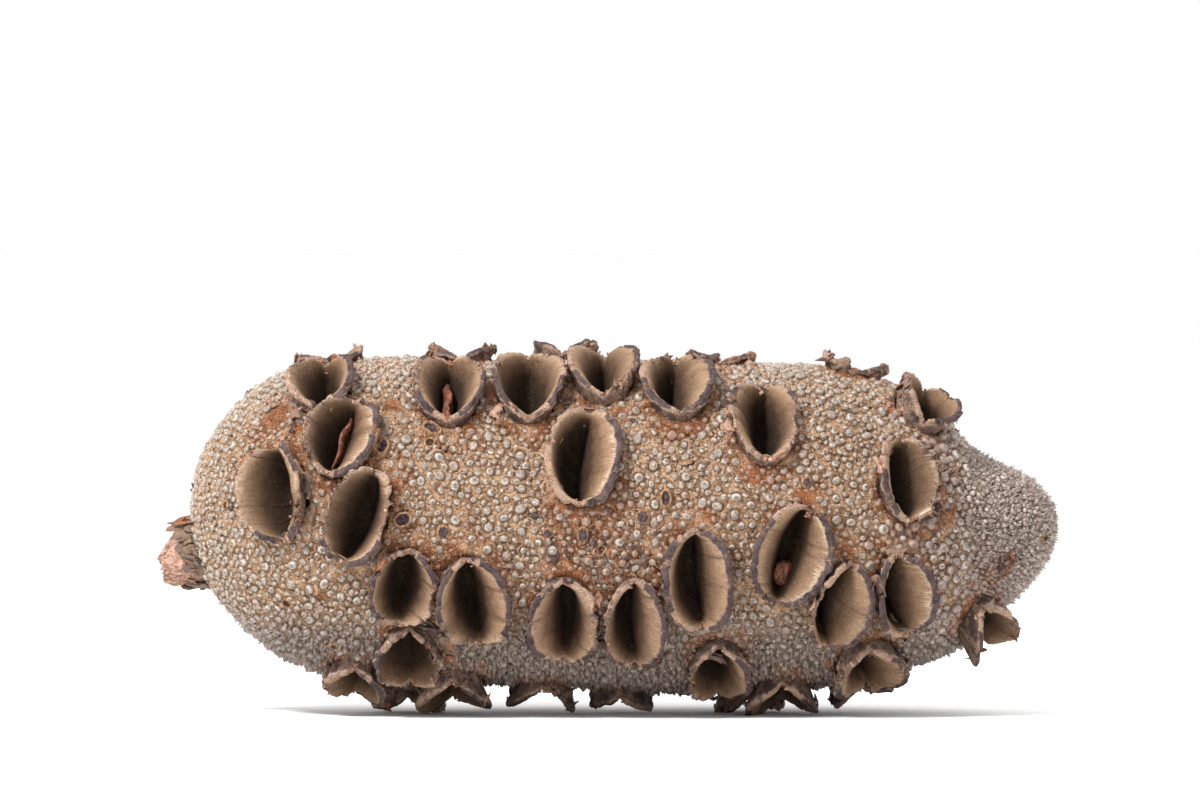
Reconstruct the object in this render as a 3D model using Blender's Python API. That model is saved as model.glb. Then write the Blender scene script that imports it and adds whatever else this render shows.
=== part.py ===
"""A dry banksia cone lying on its side: a spike covered in round bract tips, with woody follicles open all round it,
a broken stalk at the left end, and seed separators left loose in three of the follicles.

The cone lies along X with its stalk at -X. Z is up, and Z = 0 is the surface that it rests on. Lengths are in
millimetres until the meshes are made. "Around" is an angle about the cone's axis: 0 faces -Y, 90 faces up,
180 faces +Y and -90 faces down."""

import math
from collections import namedtuple

import bmesh
import bpy
import numpy as np
from mathutils import Matrix, Vector

MM = 0.001

# Height of the cone's axis above the surface that it rests on
AXIS_HEIGHT = 38.4

# Outline of the spike: distance along X, radius, and how far its middle lies above the axis
OUTLINE = (
    (-82.8, 0.0, 1.8),
    (-81.0, 11.0, 1.8),
    (-74.2, 20.8, 1.9),
    (-63.2, 28.7, 1.5),
    (-50.0, 31.7, 0.4),
    (-20.0, 31.7, 0.0),
    (30.0, 32.2, -1.0),
    (48.0, 30.6, -0.8),
    (60.0, 26.9, -1.3),
    (67.0, 23.2, -2.9),
    (73.0, 18.2, -4.2),
    (80.0, 13.2, -2.8),
    (86.5, 7.6, -1.4),
    (89.4, 0.0, -0.8),
)

# Bract tips, larger than life: distance between neighbours on the spike and on its bare nose,
# and the height of each, and how far it strays, as shares of that distance
BRACT_SPACING = 7.3
NOSE_SPACING = 5.4
NOSE_FROM = 64.0
NOSE_TO = 76.0
BRACT_RISE = 0.15
BRACT_WANDER = 0.09
FEWEST_IN_A_RING = 5

# Open follicles: distance along X, angle around, length, width and reach above the spike, and how many degrees
# the slot leans towards +X
Follicle = namedtuple("Follicle", "along around length width reach lean")
FOLLICLES = (
    # Near side, upper half
    Follicle(-56.6, 57, 17.0, 13.6, 5.0, 4),
    Follicle(-52.5, 32, 18.5, 15.8, 5.0, 16),
    Follicle(-64.8, 10, 20.0, 14.8, 5.0, -6),
    Follicle(-49.0, 3, 20.6, 14.0, 5.0, 19),
    Follicle(-31.5, 54, 20.6, 15.2, 5.0, 0),
    Follicle(-15.7, 57, 21.6, 15.0, 5.4, 0),
    Follicle(-0.8, 65, 20.6, 14.8, 5.4, 0),
    Follicle(-4.6, 25, 21.4, 14.8, 5.0, 5),
    Follicle(13.9, 57, 20.4, 14.8, 5.0, -3),
    Follicle(30.8, 40, 19.8, 14.8, 5.0, -4),
    Follicle(58.3, 21, 17.8, 13.4, 5.2, -6),
    Follicle(61.8, 65, 15.0, 13.4, 6.4, 0),
    # Near side, lower half
    Follicle(-40.3, -21, 16.4, 13.8, 5.0, 10),
    Follicle(-26.5, -27, 20.0, 15.2, 5.0, -8),
    Follicle(-39.2, -52, 17.4, 13.8, 5.0, 0),
    Follicle(-8.6, -34, 20.0, 14.6, 5.0, 0),
    Follicle(5.4, -34, 21.4, 13.2, 5.0, 0),
    Follicle(18.0, -17, 21.4, 13.8, 5.0, -4),
    Follicle(36.1, -8, 21.2, 15.2, 5.0, 18),
    Follicle(45.6, -28, 19.6, 12.6, 5.0, 15),
    Follicle(58.0, -26, 18.6, 12.2, 5.0, -6),
    Follicle(21.9, -57, 19.6, 13.4, 5.0, 0),
    Follicle(51.2, -61, 17.0, 15.0, 6.2, 0),
    Follicle(73.6, -59, 15.4, 12.4, 7.0, 0),
    # Underneath
    Follicle(-50.0, -72, 16.0, 13.6, 5.4, 0),
    Follicle(-13.0, -92, 18.0, 14.0, 5.4, 0),
    Follicle(2.5, -99, 18.0, 13.4, 5.2, 0),
    Follicle(50.0, -100, 16.0, 13.0, 5.4, 0),
    # Along the top
    Follicle(-55.5, 93, 17.0, 14.4, 2.8, 0),
    Follicle(-29.2, 94, 17.0, 14.2, 4.2, 0),
    Follicle(22.7, 95, 17.0, 14.0, 2.6, 0),
    Follicle(49.0, 94, 17.0, 14.4, 3.2, 0),
    # Far side
    Follicle(-66.0, 132, 16.0, 12.6, 5.0, 6),
    Follicle(-38.0, 131, 19.0, 14.0, 5.0, -8),
    Follicle(-8.5, 110, 20.0, 14.0, 5.4, 4),
    Follicle(38.0, 132, 19.0, 14.0, 5.0, -6),
    Follicle(-56.0, 178, 18.0, 13.0, 5.0, 8),
    Follicle(-20.0, 162, 20.0, 14.0, 5.0, 4),
    Follicle(17.0, 158, 20.0, 14.0, 5.0, -10),
    Follicle(-34.0, 202, 20.0, 14.0, 5.0, 0),
    Follicle(0.0, 196, 20.0, 14.4, 5.0, 10),
    Follicle(42.0, 182, 19.0, 13.6, 5.0, 6),
    Follicle(-14.0, 227, 18.0, 14.0, 5.0, -6),
    Follicle(20.0, 218, 18.0, 13.6, 5.0, 5),
    Follicle(52.0, 216, 17.0, 13.0, 5.0, -8),
)

# Follicles underneath whose rims reach down to the ground, so that the cone rests on them: their own reach
# is worked out so that each rim dips this far below Z = 0 before it is cut off flat there
FOOT_DIP = 0.8
FOOT_STEP = 0.05
FEET = (
    Follicle(-31.0, -77, 17.0, 15.0, 0.0, 0),
    Follicle(34.5, -79, 17.0, 15.0, 0.0, 0),
    Follicle(-40.0, -105, 17.0, 15.0, 0.0, 0),
    Follicle(28.0, -106, 17.0, 15.0, 0.0, 0),
)

# A follicle's woody wall, as shares of its half length and half width, at heights above the spike's surface.
# Its rim is highest beside the slot: at the slot's ends it keeps this share of its height, and the lower the
# fullness, the sooner it climbs from there
SIDES = 10
RIM_WALL = 1.2
RIM_SLOPE = 0.3
RIM_END_SHARE = 0.5
RIM_FULLNESS = 0.7
WAIST = (0.84, 0.60)
WAIST_DEPTH = 1.2
THROAT = (0.76, 0.36)
THROAT_DEPTH = 1.5
FLOOR = (0.54, 0.16)
FLOOR_DEPTH = 8.0
ROOT = (0.62, 0.36)
ROOT_DEPTH = 10.5
ALMOND = 0.35
PLUG_LIFT = 1.0

# The broken stalk: where it starts inside the spike, as a distance along X and a height above the axis, how many
# degrees it slopes down, and its radius at distances from that start
STALK_START = (-73.5, -3.9)
STALK_SLOPE = 14.0
STALK_SECTIONS = ((0.0, 6.6), (10.0, 6.6), (12.4, 5.6), (14.6, 4.7), (16.4, 3.2))
STALK_SIDES = 14
STALK_ROUGHNESS = 0.09
STALK_BREAK = 0.5

# Seed separators left loose: the follicle that each lies in, by its place in the list, and its sections as shares
# of that follicle's half length and half width at heights above the spike's surface
SEPARATORS_IN = (18, 1, 4)
SEPARATOR_SECTIONS = ((0.40, 0.10, -6.4), (0.50, 0.24, -1.6), (0.44, 0.22, 0.6))
SEPARATOR_BREAK = 0.8

# Room left between separate pieces
GAP = 0.3

# The block that cuts the feet off level, wider than the cone is long
GROUND_BLOCK = 300.0

# Colour and roughness of each finish
FINISHES = {
    "bracts": ((0.36, 0.27, 0.20), 0.85),
    "stalk_wood": ((0.50, 0.27, 0.18), 0.80),
    "separator_wood": ((0.22, 0.08, 0.04), 0.70),
}


def clear_scene():
    for found in list(bpy.data.objects):
        bpy.data.objects.remove(found)


def new_collection(name, for_cutting=False):
    made = bpy.data.collections.new(name)
    bpy.context.scene.collection.children.link(made)
    made.hide_render = for_cutting
    return made


def paint(thing, finish):
    """A material of its own for the object."""
    colour, roughness = FINISHES[finish]
    material = bpy.data.materials.new(thing.name + "_" + finish)
    material.use_nodes = True
    shader = material.node_tree.nodes["Principled BSDF"]
    shader.inputs["Base Color"].default_value = (*colour, 1.0)
    shader.inputs["Roughness"].default_value = roughness
    thing.data.materials.append(material)


def object_from(name, bm, collection):
    """A new object made of the bmesh, scaled from millimetres."""
    bmesh.ops.recalc_face_normals(bm, faces=bm.faces)
    bmesh.ops.scale(bm, vec=(MM, MM, MM), verts=bm.verts)
    mesh = bpy.data.meshes.new(name)
    bm.to_mesh(mesh)
    bm.free()
    made = bpy.data.objects.new(name, mesh)
    collection.objects.link(made)
    if collection.hide_render:
        made.hide_render = True
        made.display_type = "WIRE"
    return made


def combine(target, operation, collection):
    """Joins the collection's objects to the target, or cuts them out of it, and removes them."""
    modifier = target.modifiers.new(operation.lower(), "BOOLEAN")
    modifier.operation = operation
    modifier.solver = "MANIFOLD"
    modifier.operand_type = "COLLECTION"
    modifier.collection = collection
    bpy.context.view_layer.objects.active = target
    bpy.ops.object.modifier_apply(modifier=modifier.name)
    for used in list(collection.objects):
        bpy.data.objects.remove(used)
    bpy.data.collections.remove(collection)


class Spike:
    """The spike's smooth surface, sampled along its outline from the stalk end to the nose."""

    STEPS_PER_SPAN = 40

    def __init__(self, outline):
        points = [Vector(point) for point in outline]
        # Mirrored in the axis at each end, so that the spike ends round
        before = Vector((points[1].x, -points[1].y, points[1].z))
        after = Vector((points[-2].x, -points[-2].y, points[-2].z))
        points = [before, *points, after]
        samples = []
        for span in zip(points, points[1:], points[2:], points[3:]):
            for step in range(self.STEPS_PER_SPAN):
                samples.append(self.curve(*span, step / self.STEPS_PER_SPAN))
        samples.append(points[-2])
        table = np.array(samples)
        self.along, self.radius, self.rise = table.T
        self.radius = np.maximum(self.radius, 0.0)
        steps = np.hypot(np.diff(self.along), np.diff(self.radius))
        self.travel = np.concatenate([[0.0], np.cumsum(steps)])
        self.length = self.travel[-1]

    @staticmethod
    def curve(a, b, c, d, share):
        """A point on the smooth curve from b to c, with slopes that allow for uneven spans."""
        first, middle, last = (b - a).length, (c - b).length, (d - c).length
        leave = ((b - a) / first - (c - a) / (first + middle) + (c - b) / middle) * middle
        arrive = ((c - b) / middle - (d - b) / (middle + last) + (d - c) / last) * middle
        square = share**2
        cube = share**3
        return (
            b * (2 * cube - 3 * square + 1)
            + leave * (cube - 2 * square + share)
            + c * (3 * square - 2 * cube)
            + arrive * (cube - square)
        )

    def at(self, column, travel):
        return float(np.interp(travel, self.travel, column))

    def travel_at(self, along):
        return float(np.interp(along, self.along, self.travel))

    def point(self, travel, around):
        radius = self.at(self.radius, travel)
        return Vector(
            (
                self.at(self.along, travel),
                -radius * math.cos(around),
                AXIS_HEIGHT + self.at(self.rise, travel) + radius * math.sin(around),
            )
        )

    def seat(self, follicle):
        """A follicle's own frame on the surface: X runs along its slot, Y across it and Z out of the spike."""
        travel = self.travel_at(follicle.along)
        around = math.radians(follicle.around)
        lean = math.radians(follicle.lean)
        forward = (self.point(travel + 1, around) - self.point(travel - 1, around)).normalized()
        slot = Vector((0.0, math.sin(around), math.cos(around)))
        out = forward.cross(slot)
        slot = slot * math.cos(lean) + forward * math.sin(lean)
        frame = Matrix((slot, out.cross(slot), out)).transposed().to_4x4()
        frame.translation = self.point(travel, around)
        return frame


def bract_spacing(spike, travel):
    share = (spike.at(spike.along, travel) - NOSE_FROM) / (NOSE_TO - NOSE_FROM)
    share = min(max(share, 0.0), 1.0)
    return BRACT_SPACING + (NOSE_SPACING - BRACT_SPACING) * share


def zip_rings(bm, lower, upper):
    """Triangles between two rings of unlike counts, where the upper ring starts half of its own step further round."""
    i = 0
    j = 0
    while i < len(lower) or j < len(upper):
        a = lower[i % len(lower)]
        b = upper[j % len(upper)]
        lower_is_next = (i + 1) / len(lower) <= (j + 1.5) / len(upper)
        if j == len(upper) or (i < len(lower) and lower_is_next):
            i += 1
            bm.faces.new((a, lower[i % len(lower)], b))
        else:
            j += 1
            bm.faces.new((a, upper[j % len(upper)], b))


def add_spike_body(spike, collection):
    """The spike with its bract tips: a net with one at each knot, and a valley between each three of them."""
    draw = np.random.default_rng(4)
    bm = bmesh.new()
    rings = []
    turn = 0.0
    travel = bract_spacing(spike, 0.0)
    while travel < spike.length - bract_spacing(spike, travel) / 2:
        spacing = bract_spacing(spike, travel)
        radius = spike.at(spike.radius, travel)
        count = max(FEWEST_IN_A_RING, round(2 * math.pi * radius / spacing))
        turn += math.pi / count
        ring = []
        for n in range(count):
            shift = draw.uniform(-1.0, 1.0, 2) * BRACT_WANDER * spacing
            around = turn + 2 * math.pi * n / count + shift[1] / radius
            ring.append(bm.verts.new(spike.point(travel + shift[0], around)))
        rings.append(ring)
        travel += spacing * math.sqrt(3) / 2
    for lower, upper in zip(rings, rings[1:]):
        zip_rings(bm, lower, upper)
    for ring, end in ((rings[0], 0.0), (rings[-1], spike.length)):
        pole = bm.verts.new(spike.point(end, 0.0))
        for a, b in zip(ring, ring[1:] + ring[:1]):
            bm.faces.new((a, b, pole))
    bmesh.ops.recalc_face_normals(bm, faces=bm.faces)
    tips = list(bm.verts)
    between_tips = list(bm.edges)
    rises = [BRACT_RISE * min(edge.calc_length() for edge in tip.link_edges) for tip in tips]
    bmesh.ops.poke(bm, faces=bm.faces)
    bmesh.ops.rotate_edges(bm, edges=between_tips)
    bm.normal_update()
    for tip, rise in zip(tips, rises):
        tip.co += tip.normal * rise
    return object_from("cone", bm, collection)


def stack_rings(rings):
    """A closed solid through rings of points with the same count, from its foot up, over the rim and down inside."""
    count = len(rings[0])
    bm = bmesh.new()
    bmesh.ops.create_cone(bm, cap_ends=True, segments=count, radius1=1.0, radius2=1.0, depth=1.0)
    foot, top = sorted(
        (face for face in bm.faces if face.normal.z**2 > 0.5),
        key=lambda face: face.calc_center_median().z,
    )
    levels = [list(foot.verts), list(top.verts)]
    for _ in rings[2:]:
        bmesh.ops.inset_individual(bm, faces=[top], thickness=0.01)
        levels.append(list(top.verts))
    places = []
    for corners, points in zip(levels, rings):
        for corner in corners:
            turn = math.atan2(corner.co.x, corner.co.y) / (2 * math.pi)
            places.append((corner, points[-round(turn * count) % count]))
    for corner, point in places:
        corner.co = point
    return bm


def oval(spike, follicle, shares, level, lift=0.0, inset=0.0, almond=0.0):
    """A ring round a follicle's slot, bent to the spike; the lift is full beside the slot and low at its ends."""
    bend = 2 * spike.at(spike.radius, spike.travel_at(follicle.along))
    points = []
    for n in range(SIDES):
        angle = 2 * math.pi * n / SIDES
        x = (shares[0] * follicle.length / 2 - inset) * math.cos(angle)
        y = (shares[1] * follicle.width / 2 - inset) * math.sin(angle)
        y *= 1.0 - almond * math.cos(angle) ** 2
        arch = RIM_END_SHARE + (1 - RIM_END_SHARE) * abs(math.sin(angle)) ** RIM_FULLNESS
        points.append(Vector((x, y, level + lift * arch - x * x / bend)))
    return points


def cup_rings(spike, follicle):
    """The woody cup, from its root inside the spike over its rim to the floor of its slot."""
    reach = follicle.reach
    return (
        oval(spike, follicle, ROOT, -ROOT_DEPTH),
        oval(spike, follicle, WAIST, -WAIST_DEPTH),
        oval(spike, follicle, (1, 1), 0.0, lift=reach),
        oval(spike, follicle, (1, 1), -RIM_SLOPE, lift=reach, inset=RIM_WALL, almond=ALMOND / 3),
        oval(spike, follicle, THROAT, -THROAT_DEPTH, almond=ALMOND),
        oval(spike, follicle, FLOOR, -FLOOR_DEPTH, almond=ALMOND),
    )


def plug_rings(spike, follicle):
    """The room that a cup needs in the spike: its side runs up inside the cup's wall."""
    under = [(a + b) / 2 for a, b in zip(ROOT, FLOOR)]
    beside = [(a + b) / 2 for a, b in zip(WAIST, THROAT)]
    return (
        oval(spike, follicle, under, -(ROOT_DEPTH + FLOOR_DEPTH) / 2),
        oval(spike, follicle, beside, -THROAT_DEPTH / 2),
        oval(spike, follicle, (1, 1), PLUG_LIFT, lift=follicle.reach, inset=RIM_WALL / 2),
    )


def standing(spike, foot):
    """The foot with the reach that takes its rim just below the ground."""
    lowest = 0.0
    while lowest > -FOOT_DIP:
        foot = foot._replace(reach=foot.reach + FOOT_STEP)
        rim = oval(spike, foot, (1, 1), 0.0, lift=foot.reach)
        lowest = min((spike.seat(foot) @ point).z for point in rim)
        if foot.reach > AXIS_HEIGHT:
            raise ValueError("a foot can't reach the ground")
    return foot


def add_follicles(spike, cone):
    """Opens the spike for every follicle and grows the woody cups into it."""
    follicles = [*FOLLICLES, *(standing(spike, foot) for foot in FEET)]
    for operation, rings_of in (("DIFFERENCE", plug_rings), ("UNION", cup_rings)):
        tools = new_collection(rings_of.__name__, for_cutting=True)
        for follicle in follicles:
            bm = stack_rings(rings_of(spike, follicle))
            bmesh.ops.transform(bm, matrix=spike.seat(follicle), verts=bm.verts)
            object_from(rings_of.__name__, bm, tools)
        combine(cone, operation, tools)


def cut_flat(cone):
    """Cuts the feet off where they would go below the ground."""
    tools = new_collection("ground", for_cutting=True)
    bm = bmesh.new()
    bmesh.ops.create_cube(bm, size=GROUND_BLOCK)
    bmesh.ops.translate(bm, vec=(0, 0, -GROUND_BLOCK / 2), verts=bm.verts)
    object_from("ground", bm, tools)
    combine(cone, "DIFFERENCE", tools)


def stalk_frame():
    slope = math.radians(STALK_SLOPE)
    frame = Matrix.Rotation(-math.pi / 2 - slope, 4, "Y")
    frame.translation = (STALK_START[0], 0.0, AXIS_HEIGHT + STALK_START[1])
    return frame


def add_stalk(cone, collection):
    """The stub of the stalk, broken off rough, and a plain hole for it in the spike."""
    rings = []
    draw = np.random.default_rng(11)
    ridges = draw.uniform(-STALK_ROUGHNESS, 0.0, STALK_SIDES)
    for distance, radius in STALK_SECTIONS:
        outside = distance > STALK_SECTIONS[1][0]
        ring = []
        for n in range(STALK_SIDES):
            angle = 2 * math.pi * n / STALK_SIDES
            reach = radius * (1 + ridges[n] * outside)
            torn = draw.uniform(-STALK_BREAK, STALK_BREAK) * outside
            ring.append(Vector((reach * math.cos(angle), reach * math.sin(angle), distance + torn)))
        rings.append(ring)
    bm = stack_rings(rings)
    bmesh.ops.transform(bm, matrix=stalk_frame(), verts=bm.verts)
    stalk = object_from("stalk", bm, collection)

    tools = new_collection("socket", for_cutting=True)
    bm = bmesh.new()
    depth = STALK_SECTIONS[-1][0] + 2 * GAP
    radius = STALK_SECTIONS[0][1] + GAP
    bmesh.ops.create_cone(
        bm, cap_ends=True, segments=STALK_SIDES, radius1=radius, radius2=radius, depth=depth
    )
    bmesh.ops.translate(bm, vec=(0, 0, depth / 2 - GAP), verts=bm.verts)
    bmesh.ops.transform(bm, matrix=stalk_frame(), verts=bm.verts)
    object_from("socket", bm, tools)
    combine(cone, "DIFFERENCE", tools)
    return stalk


def add_separators(spike, collection):
    """Thin wedges of wood standing clear of the slots that they were shed into."""
    draw = np.random.default_rng(7)
    made = []
    for number, place in enumerate(SEPARATORS_IN, start=1):
        follicle = FOLLICLES[place]
        rings = [
            oval(spike, follicle, (long, wide), level, almond=ALMOND)
            for long, wide, level in SEPARATOR_SECTIONS
        ]
        for point in rings[-1]:
            point.z += draw.uniform(0.0, SEPARATOR_BREAK)
        bm = stack_rings(rings)
        bmesh.ops.transform(bm, matrix=spike.seat(follicle), verts=bm.verts)
        made.append(object_from(f"seed_separator_{number}", bm, collection))
    return made


def main():
    clear_scene()
    parts = new_collection("banksia_cone")
    spike = Spike(OUTLINE)
    cone = add_spike_body(spike, parts)
    add_follicles(spike, cone)
    cut_flat(cone)
    stalk = add_stalk(cone, parts)
    paint(cone, "bracts")
    paint(stalk, "stalk_wood")
    for separator in add_separators(spike, parts):
        paint(separator, "separator_wood")


main()
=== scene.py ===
# %% [markdown]
# # A dry banksia cone
# A banksia cone is a woody spike. Hundreds of flowers were packed round it; each left a round, silvery
# bract tip standing in brown felt. The few flowers that set seed grew into woody follicles, which open like
# pairs of lips. This lesson dresses the plain solid model of such a cone: felt first, then bract tips,
# follicles, the broken stalk, and the crumbs and scars that an old cone collects.

# %% Load the solid model
import itertools
import math

import bpy
import numpy as np
from mathutils import Matrix, Vector
from mathutils.kdtree import KDTree


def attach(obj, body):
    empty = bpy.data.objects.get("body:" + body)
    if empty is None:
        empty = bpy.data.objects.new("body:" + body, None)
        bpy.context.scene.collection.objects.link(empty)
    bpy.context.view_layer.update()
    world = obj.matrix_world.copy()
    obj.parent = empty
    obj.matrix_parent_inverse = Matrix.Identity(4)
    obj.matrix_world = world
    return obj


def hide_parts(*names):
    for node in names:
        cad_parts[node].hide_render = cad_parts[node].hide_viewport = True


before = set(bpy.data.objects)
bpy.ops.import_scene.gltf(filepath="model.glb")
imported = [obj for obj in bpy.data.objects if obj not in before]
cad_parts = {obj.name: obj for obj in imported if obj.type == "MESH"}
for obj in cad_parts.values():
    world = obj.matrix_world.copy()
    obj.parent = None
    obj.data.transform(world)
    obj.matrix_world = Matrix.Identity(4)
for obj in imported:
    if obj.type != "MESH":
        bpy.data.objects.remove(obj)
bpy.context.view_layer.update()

# %% [markdown]
# ## The shape that everything sits on
# The solid model was made from an outline turned about a nearly straight axis, and a list of follicles. The
# same values are repeated here, in millimetres, so that each new piece can be put exactly where the solid
# has it. "Along" is the distance along X. "Around" is an angle about the axis: 0 faces the camera, 90 faces
# up.

# %% Outline and follicles
MM = 0.001
AXIS_HEIGHT = 38.4
FAR_AWAY = 99.0

# Distance along X, radius, and how far the middle lies above the axis
OUTLINE = (
    (-82.8, 0.0, 1.8),
    (-81.0, 11.0, 1.8),
    (-74.2, 20.8, 1.9),
    (-63.2, 28.7, 1.5),
    (-50.0, 31.7, 0.4),
    (-20.0, 31.7, 0.0),
    (30.0, 32.2, -1.0),
    (48.0, 30.6, -0.8),
    (60.0, 26.9, -1.3),
    (67.0, 23.2, -2.9),
    (73.0, 18.2, -4.2),
    (80.0, 13.2, -2.8),
    (86.5, 7.6, -1.4),
    (89.4, 0.0, -0.8),
)

# Along, around, length, width, reach above the spike, and lean of the slot in degrees. The last value lists
# the stretches of rim that are broken away, as angles round the rim: 0 is the slot's upper end and 90 its
# left side
FOLLICLES = (
    # Near side, upper half
    (-56.6, 57, 17.0, 13.6, 5.0, 4, ((40, 75),)),
    (-52.5, 32, 18.5, 15.8, 5.0, 16, ((45, 150),)),
    (-64.8, 10, 20.0, 14.8, 5.0, -6, ((218, 262),)),
    (-49.0, 3, 20.6, 14.0, 5.0, 19, ((40, 128), (262, 315))),
    (-31.5, 54, 20.6, 15.2, 5.0, 0, ((55, 110), (285, 320))),
    (-15.7, 57, 21.6, 15.0, 5.4, 0, ((62, 84),)),
    (-0.8, 65, 20.6, 14.8, 5.4, 0, ((200, 240),)),
    (-4.6, 25, 21.4, 14.8, 5.0, 5, ((75, 92),)),
    (13.9, 57, 20.4, 14.8, 5.0, -3, ((20, 50), (300, 330))),
    (30.8, 40, 19.8, 14.8, 5.0, -4, ((230, 285), (60, 78))),
    (58.3, 21, 17.8, 13.4, 5.2, -6, ((225, 325),)),
    (61.8, 65, 15.0, 13.4, 6.4, 0, ((70, 120),)),
    # Near side, lower half
    (-40.3, -21, 16.4, 13.8, 5.0, 10, ((30, 60), (255, 290))),
    (-26.5, -27, 20.0, 15.2, 5.0, -8, ((98, 128),)),
    (-39.2, -52, 17.4, 13.8, 5.0, 0, ((235, 330),)),
    (-8.6, -34, 20.0, 14.6, 5.0, 0, ((250, 292),)),
    (5.4, -34, 21.4, 13.2, 5.0, 0, ((45, 122),)),
    (18.0, -17, 21.4, 13.8, 5.0, -4, ((60, 72),)),
    (36.1, -8, 21.2, 15.2, 5.0, 18, ((340, 358),)),
    (45.6, -28, 19.6, 12.6, 5.0, 15, ((60, 118),)),
    (58.0, -26, 18.6, 12.2, 5.0, -6, ((55, 75),)),
    (21.9, -57, 19.6, 13.4, 5.0, 0, ((60, 120),)),
    (51.2, -61, 17.0, 15.0, 6.2, 0, ((40, 70), (270, 300))),
    (73.6, -59, 15.4, 12.4, 7.0, 0, ((235, 300),)),
    # Underneath
    (-50.0, -72, 16.0, 13.6, 5.4, 0, ((60, 130),)),
    (-13.0, -92, 18.0, 14.0, 5.4, 0, ()),
    (2.5, -99, 18.0, 13.4, 5.2, 0, ()),
    (50.0, -100, 16.0, 13.0, 5.4, 0, ()),
    # Along the top
    (-55.5, 93, 17.0, 14.4, 2.8, 0, ((80, 120),)),
    (-29.2, 94, 17.0, 14.2, 4.2, 0, ((60, 140), (220, 280))),
    (22.7, 95, 17.0, 14.0, 2.6, 0, ((250, 280),)),
    (49.0, 94, 17.0, 14.4, 3.2, 0, ((60, 90),)),
    # Far side
    (-66.0, 132, 16.0, 12.6, 5.0, 6, ((60, 110),)),
    (-38.0, 131, 19.0, 14.0, 5.0, -8, ((250, 290),)),
    (-8.5, 110, 20.0, 14.0, 5.4, 4, ((70, 110),)),
    (38.0, 132, 19.0, 14.0, 5.0, -6, ()),
    (-56.0, 178, 18.0, 13.0, 5.0, 8, ((240, 300),)),
    (-20.0, 162, 20.0, 14.0, 5.0, 4, ((50, 90),)),
    (17.0, 158, 20.0, 14.0, 5.0, -10, ((280, 310),)),
    (-34.0, 202, 20.0, 14.0, 5.0, 0, ()),
    (0.0, 196, 20.0, 14.4, 5.0, 10, ((60, 130),)),
    (42.0, 182, 19.0, 13.6, 5.0, 6, ((220, 260),)),
    (-14.0, 227, 18.0, 14.0, 5.0, -6, ((80, 130),)),
    (20.0, 218, 18.0, 13.6, 5.0, 5, ()),
    (52.0, 216, 17.0, 13.0, 5.0, -8, ((240, 280),)),
    # The four that the cone rests on
    (-31.0, -77, 17.0, 15.0, 6.6, 0, ()),
    (34.5, -79, 17.0, 15.0, 5.9, 0, ()),
    (-40.0, -105, 17.0, 15.0, 6.9, 0, ()),
    (28.0, -106, 17.0, 15.0, 6.4, 0, ()),
)

# By number: how far the slot lies off the middle, as a share of the half width, with left positive, and how
# wide open its throat is. The others are drawn at random
SLOTS = {
    1: (0.0, 0.32),
    2: (0.20, 0.30),
    3: (0.05, 0.30),
    4: (-0.05, 0.34),
    5: (0.0, 0.28),
    6: (0.08, 0.40),
    7: (0.12, 0.22),
    8: (0.34, 0.34),
    9: (0.28, 0.24),
    10: (0.0, 0.30),
    11: (0.10, 0.30),
    13: (0.05, 0.36),
    14: (0.12, 0.28),
    15: (0.10, 0.50),
    16: (-0.07, 0.26),
    17: (0.33, 0.24),
    18: (0.30, 0.30),
    19: (0.08, 0.24),
    20: (0.50, 0.22),
    21: (0.45, 0.26),
    22: (0.17, 0.34),
    23: (0.22, 0.20),
}

# By number: the stretches of rim that keep their dark band
BANDS = {
    1: ((200, 330),),
    2: ((195, 345), (0, 25)),
    3: ((285, 345), (140, 185), (195, 222)),
    4: ((100, 178), (188, 255)),
    5: ((195, 330), (120, 160), (35, 55)),
    6: ((95, 150), (215, 260)),
    7: ((205, 350), (120, 160)),
    8: ((195, 330),),
    9: ((190, 300), (100, 160)),
    10: ((225, 310), (50, 62)),
    11: ((95, 150),),
    12: ((190, 330),),
    13: ((285, 350), (60, 150)),
    14: ((25, 112), (225, 350)),
    15: ((60, 110),),
    16: ((25, 150), (215, 260)),
    17: ((190, 340), (100, 160)),
    18: ((40, 110), (195, 350)),
    19: ((60, 345),),
    20: ((195, 345), (95, 150)),
    21: ((20, 120), (195, 350)),
    22: ((190, 330), (40, 70)),
    23: ((60, 160), (200, 330)),
    24: ((30, 170),),
}

# By number: how dark the left valve and the right one are, between 0 and 1. This is painted shade, mostly on
# the left valve, which faces away from the key light
VALVE_SHADES = {
    1: (0.75, 0.35),
    2: (0.65, 0.10),
    3: (0.80, 0.10),
    4: (0.75, 0.10),
    5: (0.22, 0.20),
    6: (0.30, 0.18),
    7: (0.30, 0.28),
    8: (0.12, 0.0),
    9: (0.34, 0.18),
    10: (0.30, 0.10),
    11: (0.20, 0.55),
    13: (0.35, 0.20),
    15: (0.60, 0.35),
    16: (0.15, 0.20),
    23: (0.10, 0.35),
    24: (0.10, 0.10),
}

# By number: stretches where the velvet is worn to cream near the rim
CREAM = {
    2: ((205, 330), (50, 140)),
    3: ((285, 335),),
    4: ((120, 165), (205, 250)),
    8: ((198, 300),),
    10: ((215, 260),),
    11: ((200, 300),),
    19: ((200, 340),),
    21: ((200, 330),),
}
print(len(FOLLICLES), "follicles")


# %% [markdown]
# The spike's surface is a smooth curve through the outline, turned about the axis. Everything that grows on
# it is placed by two numbers: how far we travel along the curve from the stalk end, and the angle around.


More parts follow.
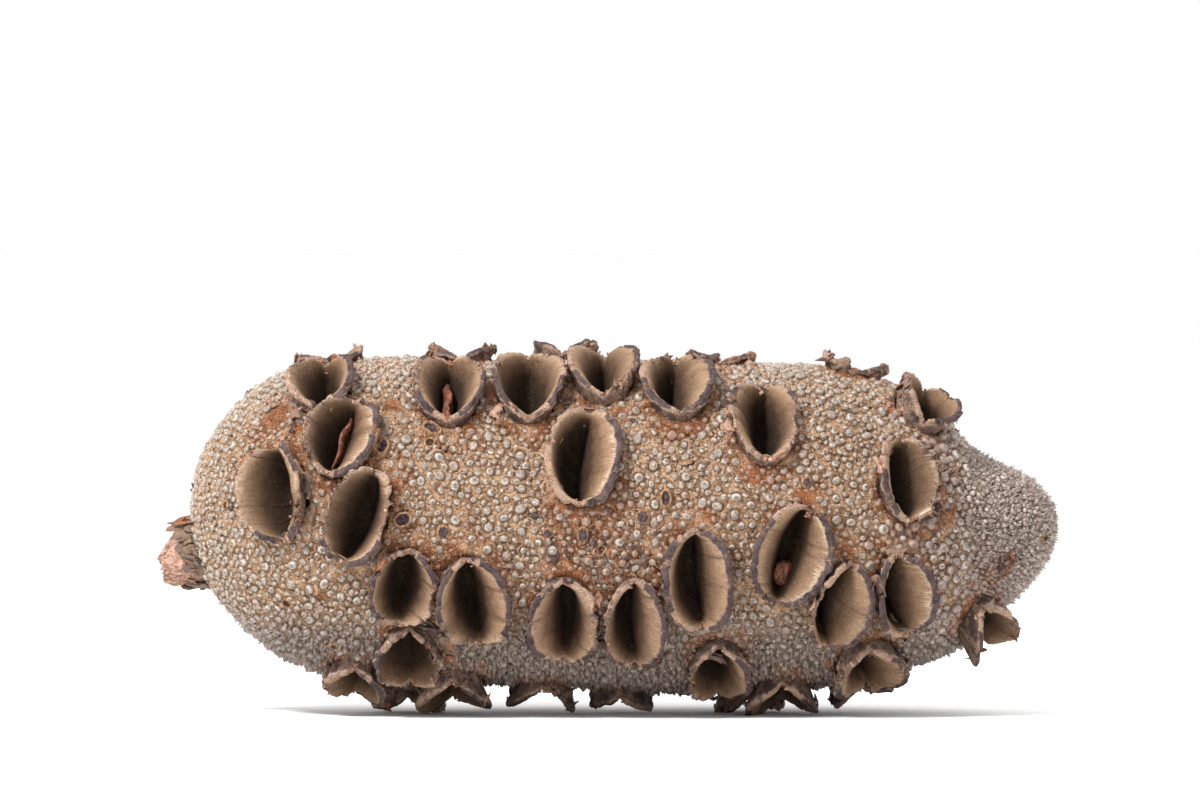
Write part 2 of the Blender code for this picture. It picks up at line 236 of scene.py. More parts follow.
# %% The spike's surface
def smooth_table(points, steps):
    """A smooth curve through uneven points, mirrored in the axis at its ends so that they are round."""
    points = [np.array(point) for point in points]
    mirror = np.array((1.0, -1.0, 1.0))
    points = [points[1] * mirror, *points, points[-2] * mirror]
    rows = []
    for a, b, c, d in zip(points, points[1:], points[2:], points[3:]):
        first, middle, last = (np.linalg.norm(step) for step in (b - a, c - b, d - c))
        leave = ((b - a) / first - (c - a) / (first + middle) + (c - b) / middle) * middle
        arrive = ((c - b) / middle - (d - b) / (middle + last) + (d - c) / last) * middle
        for share in np.arange(steps) / steps:
            square, cube = share**2, share**3
            start = b * (2 * cube - 3 * square + 1) + leave * (cube - 2 * square + share)
            rows.append(start + c * (3 * square - 2 * cube) + arrive * (cube - square))
    rows.append(points[-2])
    return np.array(rows).T


ALONG, RADIUS, RISE = smooth_table(OUTLINE, 40)
RADIUS = np.maximum(RADIUS, 0.0)
TRAVEL = np.concatenate([[0.0], np.cumsum(np.hypot(np.diff(ALONG), np.diff(RADIUS)))])
LENGTH = TRAVEL[-1]


def radius_at(travel):
    return np.interp(travel, TRAVEL, RADIUS)


def along_at(travel):
    return np.interp(travel, TRAVEL, ALONG)


def travel_at(along):
    return np.interp(along, ALONG, TRAVEL)


def on_spike(travel, around, lift=0.0):
    """Points in millimetres at a travel and an angle, lifted square off the surface."""
    before, after = travel - 0.5, travel + 0.5
    slope = (radius_at(after) - radius_at(before), along_at(after) - along_at(before))
    steep = np.hypot(*slope) + 1e-9
    out = np.stack(
        np.broadcast_arrays(
            -slope[0] / steep, -slope[1] / steep * np.cos(around), slope[1] / steep * np.sin(around)
        ),
        axis=-1,
    )
    radius = radius_at(travel)
    middle = AXIS_HEIGHT + np.interp(travel, TRAVEL, RISE)
    across, up = -radius * np.cos(around), middle + radius * np.sin(around)
    place = np.stack(np.broadcast_arrays(along_at(travel), across, up), axis=-1)
    return place + out * np.asarray(lift)[..., None], out


print("from end to end over the surface: %.0f mm" % LENGTH)


# %% [markdown]
# Each follicle has a frame of its own on the surface: X along its slot, Y across it, Z straight out.


# %% The follicles' own frames
def seat(follicle):
    along, around, _, _, _, lean, _ = follicle
    around, lean = math.radians(around), math.radians(lean)
    travel = travel_at(along)
    (ahead, _), (behind, _) = on_spike(travel + 1.0, around), on_spike(travel - 1.0, around)
    forward = (ahead - behind) / np.linalg.norm(ahead - behind)
    slot = np.array((0.0, math.sin(around), math.cos(around)))
    out = np.cross(forward, slot)
    slot = slot * math.cos(lean) + forward * math.sin(lean)
    return on_spike(travel, around)[0], np.stack((slot, np.cross(out, slot), out))


SEATS = [seat(follicle) for follicle in FOLLICLES]


# A follicle's foot as shares of its length and width, how deep the test for it reaches, and the angles
# between which the rust lies on its lower side. The last is the tightest curve of the spike that a follicle
# is bent to
FOOT_LENGTH = 0.46
FOOT_WIDTH = 0.40
FOOT_DEPTH = 20.0
RUST_BELOW = (20, 100)
TIGHTEST = 12.0


def nearness(points, grow=0.0):
    """How near points are to a follicle, 1 on its foot's edge and less inside, and how far to its rust."""
    best = np.full(len(points), FAR_AWAY)
    upper = np.zeros(len(points))
    for (place, axes), (_, around, length, width, _, _, _) in zip(SEATS, FOLLICLES):
        local = (points - place) @ axes.T
        foot = (FOOT_LENGTH * length + grow, FOOT_WIDTH * width + grow)
        away = np.hypot(local[:, 0] / foot[0], local[:, 1] / foot[1])
        away = np.where(local[:, 2] < -FOOT_DEPTH, FAR_AWAY, away)
        towards = -1.0 if RUST_BELOW[0] < around < RUST_BELOW[1] else 1.0
        upper = np.where(away < best, local[:, 0] / length * towards, upper)
        best = np.minimum(best, away)
    return best, upper


def bend_at(along):
    """What the square of a distance is divided by, to follow the spike's curve round."""
    return 2 * max(float(radius_at(travel_at(along))), TIGHTEST)


def ripple(points, size, seed):
    """Soft noise between -1 and 1, made of a few waves in random directions."""
    draw = np.random.default_rng(seed)
    total = np.zeros(len(points))
    for _ in range(9):
        direction = draw.normal(size=3)
        direction *= draw.uniform(0.7, 1.6) * 2 * math.pi / size / np.linalg.norm(direction)
        total += np.sin(points @ direction + draw.uniform(0, 2 * math.pi))
    return np.clip(total / 4.5, -1.0, 1.0)


def unit(rows):
    """Rows brought to length 1."""
    return rows / np.linalg.norm(rows, axis=1)[:, None]


def smooth_step(value, low, high):
    share = np.clip((value - low) / (high - low), 0.0, 1.0)
    return share * share * (3 - 2 * share)


# %% [markdown]
# ## Helpers
# Operators act on whatever is selected, so every piece starts by deselecting everything. Points worked out
# in millimetres are written to a mesh in metres, and numbers that a material needs are stored on the
# points.


# %% Small tools for meshes
# The lowest that a copy and a follicle may reach above the floor, in millimetres
COPY_FLOOR = 0.03
FOLLICLE_FLOOR = 0.05


def start_fresh():
    if bpy.context.object and bpy.context.object.mode != "OBJECT":
        bpy.ops.object.mode_set(mode="OBJECT")
    bpy.ops.object.select_all(action="DESELECT")


def corners_of(thing):
    flat = np.empty(len(thing.data.vertices) * 3, np.float32)
    thing.data.vertices.foreach_get("co", flat)
    return flat.reshape(-1, 3).astype(float)


def move_corners(thing, points):
    """Puts the mesh's points at places given in millimetres."""
    thing.data.vertices.foreach_set("co", (np.asarray(points) * MM).astype(np.float32).ravel())
    thing.data.update()


def store(thing, name, values):
    """Keeps one number for each point, for the material to read."""
    layer = thing.data.attributes.new(name, "FLOAT", "POINT")
    layer.data.foreach_set("value", np.asarray(values, np.float32))


def finished(thing, name, material):
    """Names a piece, shades it smooth, and lets it ride on the cone."""
    thing.name = name
    thing.data.name = name
    thing.data.shade_smooth()
    thing.data.materials.clear()
    thing.data.materials.append(material)
    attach(thing, "root")


def copied_over(name, model, places, turns, sizes):
    """One mesh with a copy of the model at each place; turns are rows of axes, sizes three numbers each."""
    shape = corners_of(model)
    points = np.einsum("vi,ni,nij->nvj", shape, sizes, turns) + places[:, None, :]
    points[..., 2] = np.maximum(points[..., 2], COPY_FLOOR)
    faces = [list(face.vertices) for face in model.data.polygons]
    count = len(shape)
    mesh = bpy.data.meshes.new(name)
    everything = []
    for face in faces:
        everything.append(np.array(face)[None, :] + count * np.arange(len(places))[:, None])
    loops = np.concatenate([part.ravel() for part in everything])
    sides = np.concatenate([np.full(len(places), part.shape[1]) for part in everything])
    mesh.vertices.add(len(points.reshape(-1, 3)))
    mesh.vertices.foreach_set("co", (points.reshape(-1, 3) * MM).astype(np.float32).ravel())
    mesh.loops.add(len(loops))
    mesh.loops.foreach_set("vertex_index", loops.astype(np.int32))
    mesh.polygons.add(len(sides))
    starts = np.concatenate([[0], np.cumsum(sides)[:-1]])
    mesh.polygons.foreach_set("loop_start", starts.astype(np.int32))
    mesh.update(calc_edges=True)
    mesh.validate()
    made = bpy.data.objects.new(name, mesh)
    bpy.context.scene.collection.objects.link(made)
    return made


# %% [markdown]
# Shader maths is easier to read as Python. A Wire is one output of a node; adding or multiplying wires adds
# Math nodes behind the scenes, and its method `add` makes any other node.


# %% Shader maths as Python
class Wire:
    def __init__(self, tree, socket=None):
        self.tree = tree
        self.socket = socket

    def add(self, kind, settings=None, sockets=None, output=0):
        node = self.tree.nodes.new("ShaderNode" + kind)
        for name, value in (settings or {}).items():
            if name == "stops":
                while len(node.color_ramp.elements) < len(value):
                    node.color_ramp.elements.new(0.5)
                for element, (place, colour) in zip(node.color_ramp.elements, value):
                    element.position = place
                    element.color = (*colour, 1.0)
            else:
                setattr(node, name, value)
        for name, value in (sockets or {}).items():
            if isinstance(value, Wire):
                self.tree.links.new(value.socket, node.inputs[name])
            elif isinstance(value, tuple) and len(value) == 3 and node.inputs[name].type == "RGBA":
                node.inputs[name].default_value = (*value, 1.0)
            else:
                node.inputs[name].default_value = value
        return Wire(self.tree, node.outputs[output])

    def maths(self, operation, first, second):
        return self.add("Math", {"operation": operation}, {0: first, 1: second})

    def __add__(self, other):
        return self.maths("ADD", self, other)

    def __radd__(self, other):
        return self.maths("ADD", other, self)

    def __sub__(self, other):
        return self.maths("SUBTRACT", self, other)

    def __rsub__(self, other):
        return self.maths("SUBTRACT", other, self)

    def __mul__(self, other):
        return self.maths("MULTIPLY", self, other)

    def __rmul__(self, other):
        return self.maths("MULTIPLY", other, self)

    def between(self, low, high):
        """0 below low, 1 above high, and a straight climb between them; low may be the larger."""
        return self.add("MapRange", {"clamp": True}, {0: self, 1: low, 2: high, 3: 0.0, 4: 1.0})


def mixed(share, first, second):
    settings = {"data_type": "RGBA", "blend_type": "MIX", "clamp_result": False}
    return share.add("Mix", settings, {0: share, 6: first, 7: second}, 2)


def ramp(share, stops):
    return share.add("ValToRGB", {"stops": stops}, {"Fac": share})


def coated(colour, *coats):
    """Coats laid over a colour one after the other, each given as its share and its colour."""
    for share, coat in coats:
        colour = mixed(share, colour, coat)
    return colour


def new_material(name, roughness, gloss=0.5):
    """A material, and the wire that its nodes start from. Dusty finishes get little gloss."""
    material = bpy.data.materials.new(name)
    material.use_nodes = True
    shader = material.node_tree.nodes["Principled BSDF"]
    shader.inputs["Roughness"].default_value = roughness
    shader.inputs["Specular IOR Level"].default_value = gloss
    return material, shader, Wire(material.node_tree)


def plug(shader, name, wire):
    wire.tree.links.new(wire.socket, shader.inputs[name])


def numbers(start, name):
    return start.add("Attribute", {"attribute_name": name}, {}, "Fac")


def speckle(start, size, detail=3.0, stretch=(1.0, 1.0, 1.0), rough=0.55):
    """Noise whose patches are about this many millimetres wide, fixed to the object."""
    spot = start.add("TexCoord", {}, {}, "Object")
    spot = start.add("Mapping", {}, {"Vector": spot, "Scale": stretch})
    return start.add(
        "TexNoise", {}, {"Vector": spot, "Scale": 1.0 / (size * MM), "Detail": detail, "Roughness": rough}
    )


def bumped(shader, height, distance, strength=1.0):
    bump = height.add("Bump", {}, {"Height": height, "Distance": distance * MM, "Strength": strength})
    plug(shader, "Normal", bump)


# %% [markdown]
# ## Camera and light
# The cone was photographed from its side, from a little above, with a long lens that keeps its ends from
# looking small. A 300 mm lens at two metres gives a view 240 mm wide. Soft light comes from the upper left,
# in front, and a white room fills the shadows.

# %% Camera
VIEW_WIDTH = 240.0
LENS = 300.0
SENSOR_WIDTH = 36.0
LOOK_AT = Vector((-1.5, 0.0, 62.5)) * MM
DISTANCE = VIEW_WIDTH * MM * LENS / SENSOR_WIDTH
VIEW_TILT = math.radians(1.0)

start_fresh()
towards = Vector((0.0, math.cos(VIEW_TILT), -math.sin(VIEW_TILT)))
stand = LOOK_AT - towards * DISTANCE
bpy.ops.object.camera_add(location=stand, rotation=(math.pi / 2 - VIEW_TILT, 0.0, 0.0))
camera = bpy.context.object
camera.data.lens = LENS
camera.data.sensor_width = SENSOR_WIDTH
camera.data.clip_start = 0.01
bpy.context.scene.camera = camera
print("camera %.0f mm away" % (DISTANCE / MM))


# %% Lights and floor
def soft_light(name, place, power, size):
    """A square light that faces the cone."""
    start_fresh()
    place = Vector(place)
    aim = (Vector((0.0, 0.0, 0.04)) - place).to_track_quat("-Z", "Y")
    bpy.ops.object.light_add(type="AREA", location=place, rotation=aim.to_euler())
    light = bpy.context.object
    light.name = name
    light.data.energy = power
    light.data.size = size


soft_light("key_light", (-0.60, -0.70, 0.95), 24.0, 0.26)
soft_light("top_light", (0.25, 0.20, 1.1), 4.0, 0.9)

world = bpy.data.worlds.new("white_room")
world.use_nodes = True
world.node_tree.nodes["Background"].inputs["Color"].default_value = (1.0, 1.0, 1.0, 1.0)
world.node_tree.nodes["Background"].inputs["Strength"].default_value = 1.0
bpy.context.scene.world = world
bpy.context.scene.view_settings.view_transform = "Standard"

start_fresh()
bpy.ops.mesh.primitive_plane_add(size=80.0)
floor = bpy.context.object
floor.name = "floor"
floor_paint, floor_shader, _ = new_material("floor_paint", 0.9)
floor_shader.inputs["Base Color"].default_value = (0.99, 0.99, 0.99, 1.0)
floor.data.materials.append(floor_paint)

# %% [markdown]
# ## What the felt, bracts, stains and painted shade share
# The same masks colour the felt and the little collars round the bracts: rusty fuzz hugs the follicles,
# most of all on the side that faces the middle of the near side; the stalk end is paler; the nose is grey;
# the underside is grey and darker, partly its matted fibres' own grey and partly painted shade.

# %% Marks left by insects and lost bracts
# Along, around, size in millimetres, how long for its width, and its kind
MARKS = [
    (-42.7, 46.2, 1.6, 1.2, "fuzz"),
    (-34.7, 35.9, 1.5, 1.7, "ring"),
    (-35.1, 30.5, 0.9, 1.1, "pit"),
    (-32.3, -1.7, 1.2, 1.1, "plug"),
    (-11.7, -1.9, 1.0, 1.0, "plug"),
    (-40.3, 2.4, 1.5, 1.3, "ring"),
    (-63.3, -35.7, 0.9, 1.1, "pit"),
    (-54.1, -52.3, 0.9, 1.0, "pit"),
    (-56.5, -28.0, 1.1, 1.0, "fuzz"),
    (11.5, 11.2, 1.3, 1.8, "ring"),
    (6.9, 4.6, 1.35, 1.0, "plug"),
    (-4.9, -2.3, 1.3, 1.6, "plug"),
    (39.3, 17.2, 1.05, 1.0, "plug"),
    (87.0, -13.6, 0.7, 1.6, "pit"),
    (-75.5, 6.1, 0.8, 1.0, "pit"),
    (-66.0, 46.0, 2.4, 1.5, "fuzz"),
    (-61.0, 36.0, 1.6, 1.3, "fuzz"),
    (-70.5, 28.0, 1.5, 1.4, "fuzz"),
    (79.0, -21.0, 1.8, 1.5, "fuzz"),
    (66.5, 10.0, 1.6, 1.2, "fuzz"),
    (-44.3, 28.0, 1.4, 1.5, "ring"),
    (-1.5, -7.6, 1.0, 1.4, "pit"),
]
draw = np.random.default_rng(90)
for kind in ("ring", "pit", "plug", "fuzz") * 9:
    spot = (draw.uniform(-68, 62), draw.uniform(85, 280))
    if nearness(on_spike(travel_at(np.array([spot[0]])), np.radians([spot[1]]))[0], 1.5)[0][0] > 1.0:
        MARKS.append((*spot, draw.uniform(0.8, 1.5), draw.uniform(1.0, 1.6), kind))
print(len(MARKS), "marks")


def from_marks(points, margin):
    """How far points lie outside the nearest mark and its margin, and how deep they are in a tuft of fuzz."""
    outside = np.full(len(points), FAR_AWAY)
    tuft = np.zeros(len(points))
    for along, around, size, stretch, kind in MARKS:
        place, _ = on_spike(travel_at(along), math.radians(around))
        away = np.linalg.norm(points - place, axis=1)
        outside = np.minimum(outside, away - size * stretch**0.5 - margin)
        if kind == "fuzz":
            tuft = np.maximum(tuft, smooth_step(-away / size, -1.6, -0.5))
    return outside, tuft


# %% Stains, and painted shade underneath
RUST_PATCHES = (
    (-3.0, 2.0, 10.0),
    (0.5, 10.0, 6.0),
    (61.0, 5.0, 7.0),
    (76.0, -26.0, 6.0),
    (24.0, -48.0, 6.0),
    (-66.0, 44.0, 7.0),
    (-71.0, 20.0, 5.0),
    (64.5, 30.0, 6.0),
)


# Where along the spike the grey of the nose starts: in the felt, and a little sooner on the bract tips
FELT_GREY_FROM = 66.0
BRACT_GREY_FROM = 52.0
STAIN_SEED = 21


def stains_and_shade(points, seed, grey_from=FELT_GREY_FROM):
    """Rust, pallor, greyness and how far underneath, for points of the felt, each between 0 and 1."""
    near, upper = nearness(points)
    noise = ripple(points, 2.6, seed)
    patchy = smooth_step(ripple(points, 8.0, seed + 1), -0.45, 0.15)
    rust = smooth_step(1.36 - near + 0.30 * noise + 0.62 * np.clip(upper, -0.5, 0.5), 0.0, 0.34)
    rust *= 0.20 + patchy
    rust = np.minimum(rust, 1.0)
    rust = np.maximum(rust, from_marks(points, 0.0)[1])
    for along, around, size in RUST_PATCHES:
        place, _ = on_spike(travel_at(along), math.radians(around))
        away = np.linalg.norm(points - place, axis=1) / size
        rust = np.maximum(rust, smooth_step(1.0 - away + 0.55 * noise, 0.0, 0.5) * 0.8)
    pale = smooth_step(-points[:, 0], 48.0, 76.0)
    height = (points[:, 2] - AXIS_HEIGHT) / 32.0
    grey = smooth_step(points[:, 0], grey_from, grey_from + 12.0)
    # How far underneath: it greys the underside and darkens it as painted shade
    under = smooth_step(-height, 0.45, 0.85)
    return rust, pale, np.maximum(grey, 0.85 * under), under


def keep_stains_and_shade(thing, points, grey_from=FELT_GREY_FROM):
    values_of = stains_and_shade(points, STAIN_SEED, grey_from)
    for name, values in zip(("rust", "pale", "grey", "under"), values_of):
        store(thing, name, values)


# %% [markdown]
# ### Felt finish
# Dry felt is matt and uneven: tan where it is bare, orange where it is thick. Fine noise in the bump makes
# it fibrous, and dark specks in that noise are painted shade between the fibres. Its colours are mixed by the
# stains and the painted shade underneath that are stored on the points.

# %% Felt material
felt_finish, felt_shader, start = new_material("felt", 0.95, 0.15)
mottle = speckle(start, 2.4, 4.0)
fibre = speckle(start, 0.50, 4.0, rough=0.75)
hairs = speckle(start, 0.26, 2.0)
tan = mixed(mottle.between(0.38, 0.62), (0.31, 0.150, 0.074), (0.68, 0.430, 0.265))
tan = coated(
    tan,
    (numbers(start, "pale") * 0.35, (0.50, 0.29, 0.15)),
    (numbers(start, "grey") * 0.85, (0.33, 0.27, 0.235)),
    # Painted shade: the underside darkened to grey-brown
    (numbers(start, "under") * 0.80, (0.145, 0.115, 0.094)),
)
rusty = mixed(mottle.between(0.35, 0.65), (0.13, 0.034, 0.010), (0.40, 0.125, 0.038))
rust_share = numbers(start, "rust") * (1.0 - numbers(start, "grey") * 0.20)
felt_colour = mixed(rust_share * fibre.between(0.26, 0.46), tan, rusty)
felt_colour = coated(
    felt_colour,
    # Painted shade: near-black specks in the gaps between the fibres
    (fibre.between(0.50, 0.38) * 0.85, (0.060, 0.028, 0.013)),
    (hairs.between(0.54, 0.66) * 0.45, (0.78, 0.58, 0.40)),
    # Painted shade: more dark specks between the finest hairs
    (hairs.between(0.46, 0.34) * 0.55, (0.085, 0.042, 0.02)),
)
plug(felt_shader, "Base Color", felt_colour)
bumped(felt_shader, fibre + 0.6 * mottle + 0.5 * hairs, 1.0, 1.0)

# %% [markdown]
# ## Felt ground
# The ground between the bracts is one closed skin. A sphere has the right layout for it: its poles become
# the two ends of the spike, and each point is moved by formula. Under a follicle the skin dives down, so
# that it never shows through the open slot.

# %% Felt skin
FELT_AROUND = 270
FELT_ALONG = 180
DIVE = 13.5

start_fresh()
bpy.ops.mesh.primitive_uv_sphere_add(segments=FELT_AROUND, ring_count=FELT_ALONG, radius=1.0)
felt = bpy.context.object
ball = corners_of(felt)
travel = (1.0 - np.arccos(np.clip(ball[:, 2], -1.0, 1.0)) / math.pi) * LENGTH
around = np.arctan2(ball[:, 1], ball[:, 0])
points, _ = on_spike(travel, around)
near, _ = nearness(points)
lift = 0.22 * ripple(points, 3.1, 1) + 0.30 * ripple(points, 9.0, 2) - 0.15
lift += 0.9 * smooth_step(1.5 - near, 0.0, 0.4) * (0.6 + 0.4 * ripple(points, 2.4, 3))
lift -= DIVE * smooth_step(0.98 - near, 0.0, 0.13)
lift += 0.9 * from_marks(points, 0.0)[1] * (0.7 + 0.5 * ripple(points, 1.4, 4))
shaped, _ = on_spike(travel, around, lift)
move_corners(felt, shaped)
keep_stains_and_shade(felt, points)
finished(felt, "felt", felt_finish)
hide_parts("cone")
start_fresh()
felt.select_set(True)
bpy.context.view_layer.objects.active = felt
bpy.ops.object.mode_set(mode="EDIT")
bpy.ops.mesh.select_all(action="SELECT")
bpy.ops.mesh.normals_make_consistent(inside=False)
bpy.ops.object.mode_set(mode="OBJECT")
print("felt:", len(felt.data.polygons), "faces")

# %% [markdown]
# ## Where the bracts stand
# Each flower left one large bract tip and two small ones. The large ones stand in rings, each ring half a
# step out of line with the last; the small ones fill the gaps between each three of them. On the nose they
# crowd together.

# %% Bract places
BRACT_STEP = 3.75
NOSE_STEP = 1.95


def bract_rings():
    draw = np.random.default_rng(5)
    rings = []
    turn = 0.0
    travel = BRACT_STEP * 0.6
    while travel < LENGTH - 0.8:
        crowded = smooth_step(along_at(travel), 64.0, 78.0)
        crowded = max(crowded, 0.55 * smooth_step(-along_at(travel), 62.0, 78.0))
        step = BRACT_STEP + (NOSE_STEP - BRACT_STEP) * crowded
        radius = float(radius_at(travel))
        count = max(5, round(2 * math.pi * radius / step))
        turn += math.pi / count
        spots = turn + 2 * math.pi * np.arange(count) / count
        stray = draw.uniform(-0.13, 0.13, (2, count)) * step
        rings.append((travel + stray[0], spots + stray[1] / radius, spots, np.full(count, step)))
        travel += step * math.sqrt(3) / 2
    return rings


def corner_at(ring, turns, number):
    """The travel and angle of one bract; past the last one, the count goes round again."""
    laps, place = divmod(number, len(ring))
    return ring[place], turns[place] + 2 * math.pi * laps


def gaps_between(rings):
    """The middle of each triangle of neighbouring large bracts, walking both rings together."""
    found = []
    for (low, low_turn, _, step), (high, high_turn, _, _) in zip(rings, rings[1:]):
        i = j = 0
        while i < len(low) or j < len(high):
            corners = [corner_at(low, low_turn, i), corner_at(high, high_turn, j)]
            if j == len(high) or (i < len(low) and (i + 1) / len(low) <= (j + 1.5) / len(high)):
                i += 1
                corners.append(corner_at(low, low_turn, i))
            else:
                j += 1
                corners.append(corner_at(high, high_turn, j))
            found.append((*np.mean(corners, axis=0), step[0]))
    return np.array(found)


rings = bract_rings()
large = np.array([(t, a, s) for ring in rings for t, a, s in zip(ring[0], ring[1], ring[3])])
small = gaps_between(rings)
draw = np.random.default_rng(6)
small[:, 0] += draw.uniform(-0.25, 0.25, len(small))
small[:, 1] += draw.uniform(-0.25, 0.25, len(small)) / np.maximum(radius_at(small[:, 0]), 3.0)


def clear_of_follicles(spots, margin):
    points, _ = on_spike(spots[:, 0], spots[:, 1])
    near, _ = nearness(points, margin)
    outside, _ = from_marks(points, margin)
    return spots[(near > 1.0) & (outside > 0.0)]


large = clear_of_follicles(large, 0.75)
small = clear_of_follicles(small, 0.35)
print(len(large), "large bracts,", len(small), "small ones")


# %% [markdown]
# What is left between them is filled with the smallest tips of all. We throw places at random and keep each
# one that has room, which gives an even but natural scatter.


# %% The smallest tips
def fill_in(taken, room, tries, seed):
    draw = np.random.default_rng(seed)
    points = np.concatenate([on_spike(spots[:, 0], spots[:, 1])[0] for spots in taken])
    sizes = np.concatenate([np.full(len(spots), size) for spots, size in zip(taken, room)])
    tree = KDTree(len(points))
    for number, point in enumerate(points):
        tree.insert(point, number)
    tree.balance()
    travel = draw.uniform(1.0, LENGTH - 1.0, tries)
    travel = travel[draw.uniform(0.0, RADIUS.max(), tries) < radius_at(travel)]
    around = draw.uniform(0, 2 * math.pi, len(travel))
    spots = np.stack((travel, around, np.full(len(travel), BRACT_STEP)), axis=1)
    spots = clear_of_follicles(spots, 0.2)
    kept, used = [], {}
    for spot, point in zip(spots, on_spike(spots[:, 0], spots[:, 1])[0]):
        cell = tuple(np.floor(point).astype(int))
        beside = itertools.product(*[(step - 1, step, step + 1) for step in cell])
        near = [used.get(neighbour) for neighbour in beside]
        if any(other is not None and np.linalg.norm(other - point) < 0.95 for other in near):
            continue
        _, number, away = tree.find(point)
        if away < sizes[number] + 0.42:
            continue
        used[cell] = point
        kept.append(spot)
    return np.array(kept)


tiny = fill_in((large, small), (1.0, 0.62), 60000, 7)
print(len(tiny), "tiny ones")

# %% [markdown]
# ## One bract tip, copied
# A bract tip is a low dome with a dimple at its top, where the style broke off. One is shaped from a
# sphere: each of its rings is moved to its place in the dome's section. Its collar is a rim of felt, pushed
# up round it.

# %% Large and small bract tips
DOME = ((0.0, 0.72), (0.22, 0.90), (0.58, 0.74), (0.90, 0.28), (1.0, -0.4), (0.0, -0.5))
SMALL_DOME = ((0.0, 0.90), (0.45, 0.74), (0.88, 0.24), (1.0, -0.3), (0.0, -0.5))
TINY_DOME = ((0.0, 0.85), (0.60, 0.62), (1.0, -0.25), (0.0, -0.5))
COLLAR = ((0.0, -0.5), (0.94, -0.30), (1.16, 0.12), (1.66, -0.42), (0.0, -0.5))


def ball_rows(ball, rows):
    """Which ring of a sphere each of its points is on, counted from the top."""
    return np.rint(np.arccos(np.clip(ball[:, 2], -1.0, 1.0)) / math.pi * rows).astype(int)


def turned(section, sides, open_top=False):
    """A sphere with its rings moved to a section's radii and heights, and with no bottom."""
    start_fresh()
    bpy.ops.mesh.primitive_uv_sphere_add(segments=sides, ring_count=len(section) - 1, radius=1.0)
    model = bpy.context.object
    ball = corners_of(model)
    row = ball_rows(ball, len(section) - 1)
    turn = np.arctan2(ball[:, 1], ball[:, 0])
    radius, height = np.array(section).T
    shape = np.stack((radius[row] * np.cos(turn), radius[row] * np.sin(turn), height[row]), axis=1)
    model.data.vertices.foreach_set("co", shape.astype(np.float32).ravel())
    hidden = {len(section) - 1, 0} if open_top else {len(section) - 1}
    bpy.ops.object.mode_set(mode="EDIT")
    bpy.ops.mesh.select_all(action="DESELECT")
    bpy.ops.object.mode_set(mode="OBJECT")
    for corner, corner_row in zip(model.data.vertices, row):
        corner.select = int(corner_row) in hidden
    bpy.ops.object.mode_set(mode="EDIT")
    bpy.ops.mesh.delete(type="VERT")
    bpy.ops.object.mode_set(mode="OBJECT")
    return model


def standing_frames(spots, tilt, seed):
    """Places on the spike, and axes there that are spun at random and tilted a little."""
    draw = np.random.default_rng(seed)
    places, out = on_spike(spots[:, 0], spots[:, 1])
    out = unit(out + draw.normal(0.0, tilt, out.shape))
    side = unit(np.cross(out, draw.normal(size=out.shape)))
    return places, np.stack((side, np.cross(out, side), out), axis=1)


def add_bracts(name, model, spots, radius, tilt, seed, finish, ragged=0.0, spiky=0.0, dusty=0.0):
    """Copies the model to every spot, each a little different, and stores what its material reads."""
    draw = np.random.default_rng(seed)
    places, turns = standing_frames(spots, tilt, seed)
    wide = radius * draw.uniform(0.66, 1.14, len(spots)) * (spots[:, 2] / BRACT_STEP) ** 0.8
    shoulder = smooth_step(places[:, 0], 50.0, 57.0) * smooth_step(-places[:, 0], -76.0, -68.0)
    wide *= 1.0 + 0.14 * shoulder
    tall = wide * draw.uniform(0.75, 1.25, len(spots))
    crowded = smooth_step(along_at(spots[:, 0]), 66.0, 76.0)
    under = smooth_step(AXIS_HEIGHT - places[:, 2], 18.0, 30.0)
    tall *= 1.0 + spiky * np.maximum(crowded, under) * draw.uniform(0.2, 1.0, len(spots))
    wide *= 1.0 - 0.28 * under
    places = places + turns[:, 2] * (draw.uniform(-0.12, 0.10, len(spots)) * wide)[:, None]
    oval = draw.uniform(0.84, 1.16, len(spots))
    made = copied_over(name, model, places, turns, np.stack((wide * oval, wide / oval, tall), axis=1))
    if ragged:
        points = corners_of(made) / MM
        jump = draw.normal(0.0, ragged, len(points))
        out = np.repeat(turns[:, 2], len(model.data.vertices), axis=0)
        move_corners(made, points + out * jump[:, None])
    shape = corners_of(model)
    store(made, "ring", np.tile(np.hypot(shape[:, 0], shape[:, 1]), len(spots)))
    store(made, "tint", np.repeat(draw.uniform(0.0, 1.0, len(spots)), len(shape)))
    store(made, "dust", np.repeat(draw.uniform(0.0, 0.22, len(spots)) + dusty, len(shape)))
    grey_from = BRACT_GREY_FROM if finish == bract_finish else FELT_GREY_FROM
    keep_stains_and_shade(made, np.repeat(places, len(shape), axis=0), grey_from)
    bpy.data.objects.remove(model)
    finished(made, name, finish)
    print(name, len(made.data.polygons), "faces")
